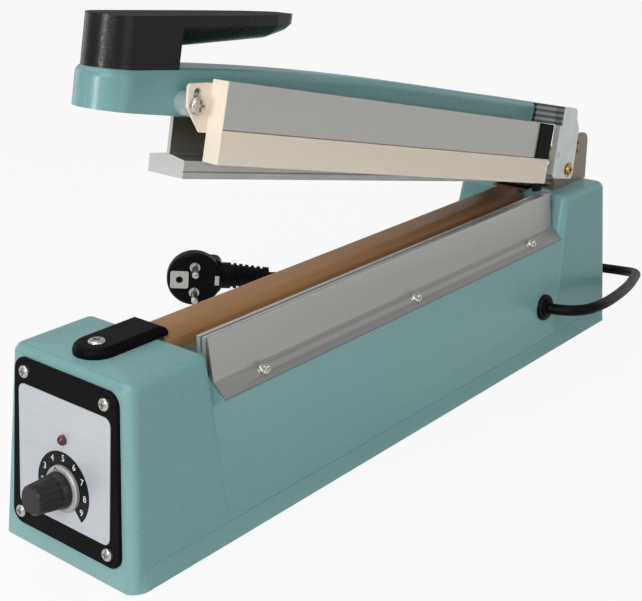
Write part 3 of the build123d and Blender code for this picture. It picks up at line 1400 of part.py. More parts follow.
def plug_body():
    """Round face, deeper back and a ribbed sleeve at right angles to the pins."""
    disc = Cylinder(PLUG_D / 2, PLUG_DISC_T, align=HIGH_ALIGN)
    disc = chamfer(disc.edges().sort_by(Axis.Z)[-1], 1.6)
    back = block(-14, PLUG_NECK, -13, 13, -PLUG_BACK, -PLUG_DISC_T + 1)
    back = fillet(back.edges().filter_by(Axis.Z), 6.0)
    back = chamfer(back.faces().sort_by(Axis.Z)[0].edges(), 3.0)
    body = disc + back
    step = (PLUG_REACH - PLUG_NECK) / (2 * RELIEF_RIBS + 4)
    profile = [(PLUG_NECK - 5, 0), (PLUG_NECK - 5, RELIEF_D[0] / 2)]
    x = PLUG_NECK + 3 * step
    for i in range(RELIEF_RIBS):
        share = i / RELIEF_RIBS
        r = (RELIEF_D[0] + (RELIEF_D[1] - RELIEF_D[0]) * share) / 2
        profile += [(x, r), (x, r - 1.3), (x + step, r - 1.3), (x + step, r - 0.1)]
        x += 2 * step
    profile += [(PLUG_REACH, RELIEF_D[1] / 2), (PLUG_REACH, 0)]
    sleeve = revolve(outline(profile), Axis.X)
    body += Pos(0, 0, -PLUG_AXIS_BACK) * sleeve
    for y in (-PLUG_PIN_GAP / 2, PLUG_PIN_GAP / 2):
        body -= Pos(0, y, 0) * Cylinder(PLUG_PIN_D / 2, 16)
    return PLUG_PLANE * body


def plug_pins():
    pieces = []
    for y in (-PLUG_PIN_GAP / 2, PLUG_PIN_GAP / 2):
        pin = Pos(0, 0, -8) * Cylinder(PLUG_PIN_D / 2, 8 + PLUG_PIN_LEN, align=LOW_ALIGN)
        pin = fillet(pin.edges().sort_by(Axis.Z)[-1], 1.6)
        pin += Cylinder(3.7, 0.9, align=LOW_ALIGN)
        pieces.append(PLUG_PLANE * (Pos(0, y, 0) * pin))
    return group(*pieces)


def plug_earth_parts():
    """Square earth socket plate and the two side contacts."""
    plate = Pos(-EARTH_OFFSET, 0, 0) * Box(13.0, 13.0, 0.8, align=LOW_ALIGN)
    plate = fillet(plate.edges().filter_by(Axis.Z), 1.5)
    plate -= Pos(-EARTH_OFFSET, 0, 0) * Cylinder(2.5, 4)
    clip = Pos(PLUG_D / 2 - 3.6, 0, 0) * Box(3.0, 7.0, 0.6, align=LOW_ALIGN)
    return group(PLUG_PLANE * plate, PLUG_PLANE * clip)


def nodes():
    """Every piece by name, in its rest place."""
    arm_solid = arm_solid_closed()
    arm = arm_casting_closed(arm_solid)
    handle = handle_cut(handle_closed(), arm_solid)
    raised = {
        "guard_profile": guard_profile_closed(),
        "cover_plate": cover_plate_closed(),
        "guard_end_cap": end_cap_closed(),
        "cutter_blade": cutter_blade_closed(),
    }
    shapes = {
        "base_housing": housing(),
        "bottom_plate": bottom_plate(),
        "bottom_plate_screws": bottom_plate_screws(),
        "rubber_feet": rubber_feet(),
        "panel_bezel": panel_bezel(),
        "panel_label": panel_label(),
        "panel_screws": panel_screws(),
        "indicator_lamp": indicator_lamp(),
        "potentiometer": potentiometer(),
        "pot_shaft": pot_shaft(),
        "knob_disc": knob_disc(),
        "timer_knob": timer_knob(),
        "timer_board": timer_board(),
        "transformer_core": transformer_core(),
        "transformer_coil": transformer_coil(),
        "terminal_block": terminal_block(),
        "internal_screws": internal_screws(),
        "microswitch": microswitch(),
        "switch_plunger": switch_plunger(),
        "lift_rod": lift_rod(),
        "return_spring": return_spring(),
        "seal_bar": seal_bar(),
        "bar_screws": bar_screws(),
        "insulating_strip": insulating_strip(),
        "heating_wire": heating_wire(),
        "wire_anchors": wire_anchors(),
        "ptfe_tape": ptfe_tape(),
        "front_clamp": front_clamp(),
        "front_clamp_screw": front_clamp_screw(),
        "rear_clamp": rear_clamp(),
        "rear_clamp_screws": rear_clamp_screws(),
        "side_plate": side_plate(),
        "side_plate_screws": side_plate_screws(),
        "cutting_strips": cutting_strips(),
        "hinge_bracket": hinge_bracket(),
        "hinge_bracket_screws": hinge_bracket_screws(),
        "pivot_screws": pivot_screws(),
        "arm_casting": tilt_arm(arm),
        "handle": tilt_arm(handle),
        "handle_screws": tilt_arm(handle_screws_closed()),
        "hinge_casting": tilt_arm(hinge_casting_closed()),
        "casting_screws": tilt_arm(casting_screws_closed()),
        "cutter_guide": tilt_arm(cutter_guide_closed()),
        "cutter_pivot": tilt_arm(cutter_pivot_closed()),
        "guide_pins": tilt_arm(guide_pins_closed()),
        "press_bar": tilt_arm(press_bar_closed()),
        "silicone_strip": tilt_arm(silicone_strip_closed()),
        "press_springs": tilt_arm(press_springs_closed()),
        "guard_brackets": tilt_arm(guard_brackets_closed()),
        "grommet": grommet(),
        "cord_lead": cord_lead(),
        "cord_coil": cord_coil(),
        "cord_tail": cord_tail(),
        "plug_body": plug_body(),
        "plug_pins": plug_pins(),
        "plug_earth_parts": plug_earth_parts(),
    }
    for name, shape in raised.items():
        shapes[name] = tilt_arm(tilt_cutter(shape))
    return shapes


# The origin lies on the table, under the middle of the machine's length and width
for name, shape in nodes().items():
    export_step(Pos(0, -MID_Y, 0) * shape, f"parts/{name}.step")
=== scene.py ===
import json
import math

import bpy
from mathutils import Matrix, Vector

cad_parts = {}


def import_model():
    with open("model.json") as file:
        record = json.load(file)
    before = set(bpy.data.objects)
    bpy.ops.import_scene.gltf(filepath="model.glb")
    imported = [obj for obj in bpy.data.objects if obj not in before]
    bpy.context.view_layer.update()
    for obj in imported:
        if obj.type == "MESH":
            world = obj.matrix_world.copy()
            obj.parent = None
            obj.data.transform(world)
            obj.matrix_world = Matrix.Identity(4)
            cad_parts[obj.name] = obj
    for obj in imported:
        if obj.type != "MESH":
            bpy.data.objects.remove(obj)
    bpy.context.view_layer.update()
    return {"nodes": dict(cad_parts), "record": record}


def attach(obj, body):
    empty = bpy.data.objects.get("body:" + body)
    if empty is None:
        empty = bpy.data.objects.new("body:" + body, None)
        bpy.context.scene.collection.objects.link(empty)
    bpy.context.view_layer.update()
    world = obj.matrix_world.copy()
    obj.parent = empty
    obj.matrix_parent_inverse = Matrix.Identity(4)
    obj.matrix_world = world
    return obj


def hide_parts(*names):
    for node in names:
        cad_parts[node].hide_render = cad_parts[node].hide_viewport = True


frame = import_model()
NODES = frame["nodes"]

# Sizes repeated from the CAD source, in millimetres and degrees
MID_Y = 213.5681
FRONT_LEAN = 5.2
AXIS_Y = 406.0
AXIS_Z = 113.0
OPEN_DEG = 12.43
KNOB_X = 1.4
KNOB_Z = 40.1
LABEL_TOP = 2.2
DISC_TOP = 4.2

# Mains lead: its width and control points in millimetres
CORD_D = 7.0
LEAD_ROUTE = (
    (49.5, 360.0, 33.4),
    (56.0, 361.0, 33.6),
    (64.5, 364.5, 34.0),
    (71.0, 372.5, 34.2),
    (73.0, 385.0, 34.0),
    (71.0, 402.0, 32.0),
    (64.5, 430.0, 27.6),
    (54.5, 463.0, 21.2),
    (44.0, 492.0, 15.8),
    (33.5, 519.0, 10.0),
    (17.0, 531.0, 4.6),
    (-3.0, 529.0, 3.6),
    (-21.0, 519.0, 3.6),
    (-36.0, 506.0, 3.6),
    (-48.2, 489.9, 3.6),
    (-59.2, 478.9, 3.6),
    (-73.0, 473.0, 3.6),
    (-86.0, 473.0, 3.6),
)
COIL_CENTRE = (-93.0, 438.0)
COIL_R = 35.0
COIL_LOW = 3.84
COIL_PITCH = 7.6
COIL_TURNS = 3.25
TURN_POINTS = 16
TAIL_ROUTE = (
    (-128.0, 431.0, 28.78),
    (-128.0, 417.0, 29.26),
    (-129.5, 402.0, 26.0),
    (-134.0, 384.0, 20.0),
    (-140.0, 366.0, 15.5),
    (-147.0, 349.5, 14.0),
    (-155.3, 335.5, 14.8),
    (-164.3, 326.1, 15.8),
)

# Strap round the coil, in millimetres
TIE_GAP = 0.7
TIE_HALF_WIDTH = 4.5
TIE_THICK = 1.2
TIE_BEND_STEPS = 8

# Dial, in millimetres on the panel
RING_INNER = 11.5
RING_OUTER = 18.2
RING_END_DEG = 135.0
RING_STEPS = 72
RING_LIFT = 0.01
NUMBER_RADIUS = 15.1
NUMBER_STEP_DEG = 30.5
NUMBER_SIZE = 4.6
NUMBER_AT_TOP = 5
POINTER_DEG = 19.0
POINTER_OUTER = ((-2.0, 8.4), (2.0, 8.4), (0, 11.3))
POINTER_INNER = ((-1.2, 8.85), (1.2, 8.85), (0, 10.55))
PRINT_T = 0.05

# Camera, solved from the edges of the base
CAMERA_AT = (423.2, -317.4, 329.7)
CAMERA_YAW = 39.856
CAMERA_PITCH = 20.92
CAMERA_ROLL = 0.198
CAMERA_LENS = 70.88

# Lamps: name, place, what it points at, width and height in metres, and watts
TARGET = (0, 0, 0.08)
LAMPS = (
    ("key", (0.34, -0.7, 0.8), TARGET, (0.5, 0.4), 2.4),
    ("side", (1.6, -0.2, 0.7), TARGET, (0.9, 1.2), 3.7),
    ("left", (-1.6, -0.2, 0.35), TARGET, (1.0, 0.6), 1.8),
    ("back", (0.35, 1.6, 0.4), TARGET, (1.0, 0.6), 1.3),
    ("top", (-0.4, -0.45, 1.6), TARGET, (1.2, 1.2), 8),
    ("front", (0.06, -1.2, 0.4), (0, -0.15, 0.2), (0.09, 0.28), 2.8),
    ("glint_left", (0.36, -1.2, 0.66), TARGET, (0.07, 0.16), 0.8),
    ("glint_right", (0.62, -1.08, 0.66), TARGET, (0.07, 0.16), 0.8),
)

# Surroundings: the sky's light, how white it and the floor are seen, and the floor in metres
SKY_LIGHT = 0.27
SKY_SEEN = 1.0
FLOOR_SEEN = 0.9
WHITE_IN_GLOSS = 0.3
FLOOR_GREY = 0.75
FLOOR_ROUGH = 0.7
FLOOR_HALF = 20.0
FLOOR_DROP = 0.0002

# Places along and over the arm as it lies closed, where the painted shade on the web and on the
# casting's flare is bounded, and the width of a soft edge, in millimetres
WEB_FOOT = 111.5
FLARE_END = 388.3
FLARE_FOOT = 140.6
SOFT_EDGE = 0.6

# Painted shade in stripes over the casting's flare, standing for the shade of its ribs: start and
# height in millimetres, and the stripes' wave angle over it
RIB_SHADE_LOW = 141.1
RIB_SHADE_RISE = 15
RIB_SHADE_ANGLE = 27.0

# Where the guide screw's head starts across the machine, after a soft edge, in metres
GUIDE_HEAD_X = 0.0245
GUIDE_SOFT_EDGE = 0.0002

# Where the tape's painted shade starts towards the rear, under the arm, and where it is darkest, in
# metres
TAPE_SHADE_FROM = -0.06
TAPE_SHADE_TO = 0.16

BENCH = Matrix.Scale(0.001, 4) @ Matrix.Translation((0, -MID_Y, 0))
PANEL = BENCH @ Matrix.Rotation(math.radians(90 - FRONT_LEAN), 4, "X")


# Materials
def srgb(red, green, blue):
    """Linear colour from eight-bit display values."""
    def channel(value):
        share = value / 255
        return share / 12.92 if share <= 0.04045 else ((share + 0.055) / 1.055) ** 2.4
    return channel(red), channel(green), channel(blue), 1.0


def math_node(tree, operation, first, second=None):
    """Result of a sum on a value and, where it takes two, another value or a number."""
    made = tree.nodes.new("ShaderNodeMath")
    made.operation = operation
    tree.links.new(first, made.inputs[0])
    if isinstance(second, float):
        made.inputs[1].default_value = second
    elif second is not None:
        tree.links.new(second, made.inputs[1])
    return made.outputs[0]


class Look:
    """A material and short ways to add nodes to it. Colours are eight-bit display values."""

    def __init__(self, name, color, rough, metal=0.0):
        self.material = bpy.data.materials.new(name)
        self.material.use_nodes = True
        self.tree = self.material.node_tree
        self.shader = self.tree.nodes["Principled BSDF"]
        self.color = srgb(*color)
        self.put("Base Color", self.color)
        self.put("Roughness", rough)
        self.put("Metallic", metal)

    def put(self, socket, value):
        """Give the shader one plain value."""
        self.shader.inputs[socket].default_value = value

    def drive(self, socket, value):
        """Let nodes drive one of the shader's values."""
        self.tree.links.new(value, self.shader.inputs[socket])

    def node(self, kind, **values):
        """New node, its inputs and settings given by name."""
        made = self.tree.nodes.new("ShaderNode" + kind)
        for key, value in values.items():
            if key in made.inputs:
                made.inputs[key].default_value = value
            else:
                setattr(made, key, value)
        return made

    def link(self, start, node, socket):
        """Feed a node, and return it."""
        self.tree.links.new(start, node.inputs[socket])
        return node

    def math(self, operation, first, second=None):
        """Result of a sum on the outputs of other nodes."""
        return math_node(self.tree, operation, first, second)

    def place(self, stretch=(1, 1, 1)):
        """Position on the object in metres, stretched along the axes."""
        source = self.node("TexCoord").outputs["Object"]
        mapping = self.link(source, self.node("Mapping"), "Vector")
        mapping.inputs["Scale"].default_value = stretch
        return mapping.outputs["Vector"]

    def along(self, axis, vector):
        """One coordinate of a vector."""
        return self.link(vector, self.node("SeparateXYZ"), 0).outputs[axis]

    def noise(self, scale, detail=3.0, stretch=(1, 1, 1)):
        """Noise over the object, stretched along the axes."""
        made = self.node("TexNoise", Scale=scale, Detail=detail, Roughness=0.55)
        return self.link(self.place(stretch), made, "Vector").outputs["Fac"]

    def ramp(self, value, low, high, out_low=0.0, out_high=1.0):
        """Map a value's range to another, clamped."""
        made = self.node("MapRange")
        sockets = ("From Min", "From Max", "To Min", "To Max")
        for socket, number in zip(sockets, (low, high, out_low, out_high)):
            made.inputs[socket].default_value = number
        return self.link(value, made, "Value").outputs["Result"]

    def tint(self, value, other, base=None):
        """Base colour moves from the plain one, or from base, to another with a value."""
        made = self.node("Mix", data_type="RGBA")
        plain, full = [socket for socket in made.inputs if socket.type == "RGBA"]
        plain.default_value = self.color
        full.default_value = srgb(*other)
        if base is not None:
            self.tree.links.new(base, plain)
        self.tree.links.new(value, made.inputs["Factor"])
        result = [socket for socket in made.outputs if socket.type == "RGBA"][0]
        self.drive("Base Color", result)
        return result

    def blotch(self, value, low, high, amount, other, base=None):
        """Another colour, up to an amount, where a value is high."""
        return self.tint(self.ramp(value, low, high, 0.0, amount), other, base)

    def rough(self, value, low, high):
        """Roughness between two limits, as a noise goes."""
        self.drive("Roughness", self.ramp(value, 0.3, 0.7, low, high))

    def bump(self, *heights, distance=0.0001, strength=1.0):
        """Add heights as one bump after another."""
        last = None
        for height in heights:
            made = self.node("Bump", Strength=strength, Distance=distance)
            self.tree.links.new(height, made.inputs["Height"])
            if last:
                self.tree.links.new(last, made.inputs["Normal"])
            last = made.outputs["Normal"]
        self.drive("Normal", last)

    def along_arm(self, y, z, low, high):
        """Ramp over a distance along (y) or over (z) the closed arm, for pieces that ride on it."""
        angle = math.radians(OPEN_DEG)
        up = z * math.cos(angle) - y * math.sin(angle)
        way = Vector((0, y * math.cos(angle) + z * math.sin(angle), up))
        axis = Vector((0, AXIS_Y - MID_Y, AXIS_Z)) / 1000
        dot = self.node("VectorMath", operation="DOT_PRODUCT")
        dot.inputs[1].default_value = way
        self.tree.links.new(self.place(), dot.inputs[0])
        shift = way.dot(axis) - (AXIS_Y * y + AXIS_Z * z) / 1000
        return self.ramp(dot.outputs["Value"], low / 1000 + shift, high / 1000 + shift)

    def facing(self, axis, low, high):
        """One where the surface faces along a signed axis of the scene."""
        normal = self.node("NewGeometry").outputs["True Normal"]
        return self.ramp(self.along(axis, normal), low, high)

    def worn_edge(self, other, base=None, start=0.53, end=0.62):
        """Lighter or barer colour along sharp outer edges."""
        edge = self.node("NewGeometry").outputs["Pointiness"]
        return self.blotch(edge, start, end, 0.6, other, base)


def powder_coat(name, color, deep, light):
    """Paint with a fine grain, a little cloudy, and lighter where edges are worn."""
    look = Look(name, color, 0.4)
    fine = look.noise(1100, 2.0)
    peel = look.noise(420, 2.0)
    clouds = look.noise(14, 3.0)
    base = look.blotch(clouds, 0.3, 0.7, 0.35, deep)
    base = look.blotch(fine, 0.45, 0.75, 0.12, light, base)
    look.worn_edge(light, base)
    look.rough(fine, 0.26, 0.34)
    look.bump(peel, distance=0.00005, strength=0.5)
    return look.material


def plastic(name, color, light, edge, rough, grain, depth, gloss):
    """Look of a moulded plastic, and the fine noise on it."""
    look = Look(name, color, rough)
    look.put("Specular IOR Level", gloss)
    fine = look.noise(grain, 2.0)
    patches = look.noise(30, 3.0)
    base = look.blotch(patches, 0.35, 0.75, 0.25, light)
    look.worn_edge(edge, base)
    look.bump(fine, distance=depth)
    return look, fine


def moulding(name, color, light, rough=0.45, grain=1500, depth=0.00004, gloss=0.5):
    """Moulded plastic, a little lighter in places and at its edges."""
    look, fine = plastic(name, color, light, light, rough, grain, depth, gloss)
    look.rough(fine, rough - 0.06, rough + 0.08)
    return look.material


def handle_moulding():
    """Smooth moulded black, worn matt on top."""
    look, fine = plastic("handle_plastic", (4, 3, 4), (14, 13, 14), (24, 23, 25),
                         rough=0.3, grain=900, depth=0.00007, gloss=0.32)
    plain = look.ramp(fine, 0.3, 0.7, 0.24, 0.34)
    matt = look.ramp(look.facing("Z", 0.75, 0.95), 0.0, 1.0, 0.0, 0.5)
    look.drive("Roughness", look.math("ADD", plain, matt))
    return look.material


def brushed(name, color, dark, stretch, rough=0.34, metal=0.75, top=None):
    """Metal with fine lines along one axis, and maybe another colour on upward faces, as painted
    shade.
    """
    look = Look(name, color, rough, metal)
    lines = look.noise(900, 4.0, stretch)
    broad = look.noise(60, 3.0, stretch)
    base = look.blotch(lines, 0.35, 0.75, 0.45, dark)
    # Painted shade: faces that point up take the top colour, darker on the brushed plate's flange.
    base = look.tint(look.facing("Z", 0.6, 0.85), top or color, base)
    look.worn_edge((225, 225, 222), base, 0.54, 0.66)
    look.rough(broad, rough - 0.07, rough + 0.1)
    look.bump(lines, distance=0.00003)
    return look.material


def cast_aluminium():
    """Bright casting, with painted shade in dark stripes over the flare at its rear."""
    look = Look("cast_aluminium", (226, 230, 230), 0.42, 0.8)
    grain = look.noise(900, 4.0)
    patches = look.noise(70, 4.0)
    base = look.blotch(patches, 0.4, 0.7, 0.5, (176, 181, 181))
    base = look.worn_edge((235, 237, 237), base)
    # Painted shade: the flare is darkened, in rows standing for the shade between its ribs.
    rise = look.along_arm(0, 1, RIB_SHADE_LOW, RIB_SHADE_LOW + RIB_SHADE_RISE)
    wave = look.math("SINE", look.math("MULTIPLY", rise, RIB_SHADE_ANGLE))
    flare = look.math("MULTIPLY", look.along_arm(1, 0, FLARE_END, FLARE_END - SOFT_EDGE),
                      look.along_arm(0, 1, FLARE_FOOT, FLARE_FOOT + SOFT_EDGE))
    painted_rib_shade = look.math("MULTIPLY", flare, look.ramp(wave, -0.7, 0.7, 0.72, 1.0))
    look.tint(painted_rib_shade, (78, 84, 82), base)
    look.rough(grain, 0.32, 0.54)
    look.bump(grain, distance=0.00008)
    return look.material


def extrusion():
    """Drawn bar: painted light on faces towards the front, such as its end, and painted shade on
    the sides of its upright web.
    """
    look = Look("extrusion", (178, 177, 172), 0.36, 0.7)
    lines = look.noise(900, 4.0, (1.0, 0.02, 1.0))
    base = look.blotch(lines, 0.35, 0.75, 0.5, (140, 139, 134))
    base = look.worn_edge((225, 225, 222), base, 0.54, 0.66)
    # Painted light: faces towards the front are lighter.
    base = look.tint(look.facing("Y", -0.5, -0.9), (238, 239, 236), base)
    # Painted shade on both sides of the upright web, above its foot.
    web = look.along_arm(0, 1, WEB_FOOT, WEB_FOOT + SOFT_EDGE)
    for way in (0.5, -0.5):
        side = look.math("MULTIPLY", web, look.facing("X", way, 1.6 * way))
        side = look.math("MULTIPLY", side, look.ramp(lines, 0.3, 0.7, 0.95, 0.85))
        base = look.tint(side, (106, 101, 90), base)
    look.rough(lines, 0.3, 0.45)
    look.bump(lines, distance=0.00003)
    return look.material


def plain_metal(name, color, dark, rough=0.25, metal=0.9):
    """Smooth metal with a faint grain."""
    look = Look(name, color, rough, metal)
    grain = look.noise(1500, 3.0)
    look.blotch(grain, 0.4, 0.7, 0.3, dark)
    look.rough(grain, rough - 0.04, rough + 0.06)
    look.bump(grain, distance=0.000006)
    return look.material


def guide_metal():
    """Cast boss, and the bright screw beyond the bracket's face."""
    look = Look("guide_metal", (186, 196, 193), 0.36, 0.45)
    grain = look.noise(1500, 3.0)
    base = look.blotch(grain, 0.4, 0.7, 0.3, (160, 170, 167))
    across = look.along("X", look.place())
    screw = look.ramp(across, GUIDE_HEAD_X - GUIDE_SOFT_EDGE, GUIDE_HEAD_X)
    look.tint(screw, (206, 200, 190), base)
    look.drive("Metallic", look.ramp(screw, 0.0, 1.0, 0.45, 0.95))
    look.drive("Roughness", look.ramp(screw, 0.0, 1.0, 0.38, 0.18))
    look.bump(grain, distance=0.000006)
    return look.material


def tape_cloth():
    """Coated glass cloth: weave under a satin film, with painted shade towards the rear, under the
    arm.
    """
    look = Look("tape_cloth", (172, 126, 78), 0.4)
    look.put("Specular IOR Level", 0.35)
    place = look.place()
    waves = []
    for way in ("X", "Y"):
        wave = look.node("TexWave", Scale=330.0, Distortion=1.2, Detail=1.0, wave_type="BANDS")
        wave.bands_direction = way
        waves.append(look.link(place, wave, "Vector").outputs["Fac"])
    weave = look.math("MULTIPLY", *waves)
    streak = look.noise(50, 4.0, (1.0, 0.12, 1.0))
    base = look.blotch(streak, 0.35, 0.75, 0.55, (128, 86, 48))
    base = look.blotch(weave, 0.1, 0.7, 0.3, (196, 158, 112), base)
    # Painted shade: the tape darkens towards the rear, under the arm.
    rear = look.ramp(look.along("Y", place), TAPE_SHADE_FROM, TAPE_SHADE_TO)
    look.tint(rear, (124, 88, 58), base)
    look.rough(streak, 0.34, 0.5)
    look.bump(weave, streak, distance=0.00006, strength=0.7)
    return look.material


def label_film():
    """Silver film, finely brushed across the panel."""
    look = Look("label_film", (203, 206, 211), 0.38, 0.25)
    lines = look.noise(800, 3.0, (0.04, 1.0, 1.0))
    look.blotch(lines, 0.35, 0.75, 0.35, (186, 190, 196))
    look.rough(lines, 0.32, 0.44)
    look.bump(lines, distance=0.00001)
    return look.material


def lamp_look():
    """Clear red lens, darker in places."""
    look = Look("lamp_look", (88, 8, 14), 0.15)
    look.put("Transmission Weight", 0.25)
    look.put("Coat Weight", 0.6)
    patches = look.noise(400, 2.0)
    look.blotch(patches, 0.4, 0.7, 0.6, (44, 3, 6))
    return look.material


def strip_cloth():
    """Woven insulating cloth."""
    look = Look("strip_cloth", (214, 205, 182), 0.8)
    weave = look.noise(1200, 2.0, (1.0, 0.5, 1.0))
    look.blotch(weave, 0.4, 0.7, 0.5, (180, 168, 140))
    look.bump(weave, distance=0.0001)
    return look.material


LOOKS = {
    "housing_paint": powder_coat("housing_paint", (116, 163, 163), (106, 152, 153),
                                 (146, 190, 189)),
    # The arm's paint is the housing's paint made darker: painted shade for the arm's sides, which
    # get less light.
    "arm_paint": powder_coat("arm_paint", (104, 151, 151), (94, 140, 141), (134, 180, 179)),
    "black_plastic": moulding("black_plastic", (5, 5, 5), (14, 14, 14), gloss=0.06),
    "handle_plastic": handle_moulding(),
    "label_film": label_film(),
    "knob_plastic": moulding("knob_plastic", (22, 22, 24), (44, 44, 48), 0.35,
                             grain=1200, depth=0.00002, gloss=0.4),
    "disc_metal": plain_metal("disc_metal", (178, 179, 180), (160, 161, 162), 0.42, 0.3),
    "lamp_red": lamp_look(),
    "steel": plain_metal("steel", (205, 203, 198), (150, 147, 142), 0.24),
    "dark_steel": moulding("dark_steel", (22, 22, 23), (52, 52, 54), 0.38, gloss=0.3),
    # The brushed plate's top colour is painted shade on its upward flange.
    "brushed_plate": brushed("brushed_plate", (144, 142, 137), (124, 122, 118),
                             (1.0, 0.025, 1.0), top=(92, 92, 90)),
    "bracket_steel": plain_metal("bracket_steel", (152, 141, 130), (112, 102, 92), 0.36, 0.7),
    "cast_aluminium": cast_aluminium(),
    "extrusion": extrusion(),
    "guard_paint": powder_coat("guard_paint", (234, 217, 197), (222, 203, 182), (246, 236, 220)),
    "guide_metal": guide_metal(),
    "brass": plain_metal("brass", (205, 168, 96), (160, 124, 62)),
    "wire_metal": plain_metal("wire_metal", (150, 144, 136), (110, 104, 96), 0.4),
    "strip_cloth": strip_cloth(),
    "tape_brown": tape_cloth(),
    "silicone": moulding("silicone", (176, 172, 164), (192, 188, 180), 0.5),
    "rubber": moulding("rubber", (7, 7, 7), (18, 18, 18), 0.5, gloss=0.15),
    "cord_pvc": moulding("cord_pvc", (4, 4, 4), (12, 12, 12), 0.4,
                         grain=600, depth=0.00003, gloss=0.1),
    "board": moulding("board", (34, 92, 54), (60, 120, 78)),
    "core_steel": brushed("core_steel", (96, 96, 98), (60, 60, 62), (1.0, 0.03, 1.0), 0.45),
    "coil_tape": moulding("coil_tape", (206, 172, 60), (226, 198, 100), 0.4),
    "white_plastic": moulding("white_plastic", (222, 222, 216), (236, 236, 232), 0.4),
    "print_white": moulding("print_white", (232, 232, 230), (242, 242, 240), 0.5),
    "print_black": moulding("print_black", (15, 15, 16), (26, 26, 27), gloss=0.15),
}

# A node whose look is not the one named after its slot
NODE_LOOKS = {"cutter_guide": "guide_metal"}


# Pieces
def dress_nodes():
    """Give every CAD node its look."""
    slots = {part["node"]: part["material_slot"] for part in frame["record"]["subparts"]}
    for name, node in NODES.items():
        node.data.materials.clear()
        node.data.materials.append(LOOKS[NODE_LOOKS.get(name, slots[name])])


def added(name, data):
    """New object in the scene."""
    made = bpy.data.objects.new(name, data)
    bpy.context.scene.collection.objects.link(made)
    return made


def piece(name, data, matrix, body, look):
    """New object with its mesh carried to its place, riding on a body."""
    made = added(name, data)
    if matrix is not None:
        data.transform(matrix)
    data.materials.append(LOOKS[look])
    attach(made, body)
    return made


def mesh_from(name, points, faces):
    """New mesh from its corners and faces."""
    mesh = bpy.data.meshes.new(name)
    mesh.from_pydata([tuple(point) for point in points], [], faces)
    mesh.update()
    return mesh


def on_dial(height):
    """Matrix of the dial's centre, at a height over the panel."""
    return PANEL @ Matrix.Translation((KNOB_X, KNOB_Z, height))


def ring_edge(radius, start, end):
    """Points of an arc in the dial's plane, its angles taken from the top."""
    angles = [math.radians(start + (end - start) * i / RING_STEPS) for i in range(RING_STEPS + 1)]
    return [(radius * math.sin(angle), radius * math.cos(angle)) for angle in angles]


def dial_ring():
    """Printed scale: a black ring, open at the bottom."""
    points = ring_edge(RING_INNER, -RING_END_DEG, RING_END_DEG)
    points += ring_edge(RING_OUTER, RING_END_DEG, -RING_END_DEG)
    count = len(points)
    corners = [(x, y, z) for z in (0, PRINT_T) for x, y in points]
    faces = [list(range(count - 1, -1, -1)), list(range(count, 2 * count))]
    for i in range(count):
        j = (i + 1) % count
        faces.append([i, j, count + j, count + i])
    mesh = mesh_from("dial_ring", corners, faces)
    piece("dial_ring", mesh, on_dial(LABEL_TOP + RING_LIFT), "base", "print_black")


def flat_text(name, text, size):
    """Mesh of a short text, centred, with a little thickness."""
    curve = bpy.data.curves.new(name, "FONT")
    curve.body = text
    curve.size = size
    curve.align_x = "CENTER"
    curve.align_y = "CENTER"
    curve.extrude = PRINT_T / 2
    curve.resolution_u = 4
    holder = added(name + "_text", curve)
    bpy.context.view_layer.update()
    mesh = bpy.data.meshes.new_from_object(holder)
    bpy.data.objects.remove(holder)
    return mesh


def dial_numbers():
    """Printed numbers 1 to 9 on the ring."""
    for number in range(1, 10):
        angle = math.radians((number - NUMBER_AT_TOP) * NUMBER_STEP_DEG)
        x = NUMBER_RADIUS * math.sin(angle)
        y = NUMBER_RADIUS * math.cos(angle)
        name = f"dial_number_{number}"
        mesh = flat_text(name, str(number), NUMBER_SIZE)
        place = on_dial(LABEL_TOP + 2 * PRINT_T) @ Matrix.Translation((x, y, 0))
        piece(name, mesh, place, "base", "print_white")


def dial_pointer():
    """Printed triangle, open inside, that turns with the knob's disc."""
    corners = [(x, y, z) for z in (0, PRINT_T) for x, y in POINTER_OUTER + POINTER_INNER]
    faces = []
    for i in range(3):
        j = (i + 1) % 3
        faces += [[i, i + 3, j + 3, j], [i + 6, j + 6, j + 9, i + 9],
                  [i, j, j + 6, i + 6], [i + 3, i + 9, j + 9, j + 3]]
    mesh = mesh_from("dial_pointer", corners, faces)
    place = on_dial(DISC_TOP) @ Matrix.Rotation(math.radians(POINTER_DEG), 4, "Z")
    piece("dial_pointer", mesh, place, "knob", "print_black")


# Mains lead
def cord_points():
    """Control points of the lead, its coil and its tail."""
    points = list(LEAD_ROUTE)
    share = (1 + math.cos(2 * math.pi / TURN_POINTS)) / 2
    radius = COIL_R / math.sqrt(share)
    count = int(COIL_TURNS * TURN_POINTS)
    for i in range(count + 1):
        angle = math.pi / 2 + 2 * math.pi * i / TURN_POINTS
        x = COIL_CENTRE[0] + radius * math.cos(angle)
        y = COIL_CENTRE[1] + radius * math.sin(angle)
        points.append((x, y, COIL_LOW + COIL_PITCH * i / TURN_POINTS))
    return points + list(TAIL_ROUTE)


def mains_lead(with_pieces):
    """The lead as one smooth spline from the grommet to the plug."""
    curve = bpy.data.curves.new("mains_lead", "CURVE")
    curve.dimensions = "3D"
    curve.bevel_depth = CORD_D / 2000
    curve.bevel_resolution = 6
    curve.resolution_u = 8
    curve.use_fill_caps = True
    spline = curve.splines.new("NURBS")
    points = [BENCH @ Vector(point) for point in cord_points()]
    spline.points.add(len(points) - 1)
    for place, point in zip(spline.points, points):
        place.co = (*point, 1)
    spline.order_u = 3
    spline.use_endpoint_u = True
    lead = piece("mains_lead", curve, None, "base", "cord_pvc")
    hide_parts("cord_lead", "cord_coil", "cord_tail")


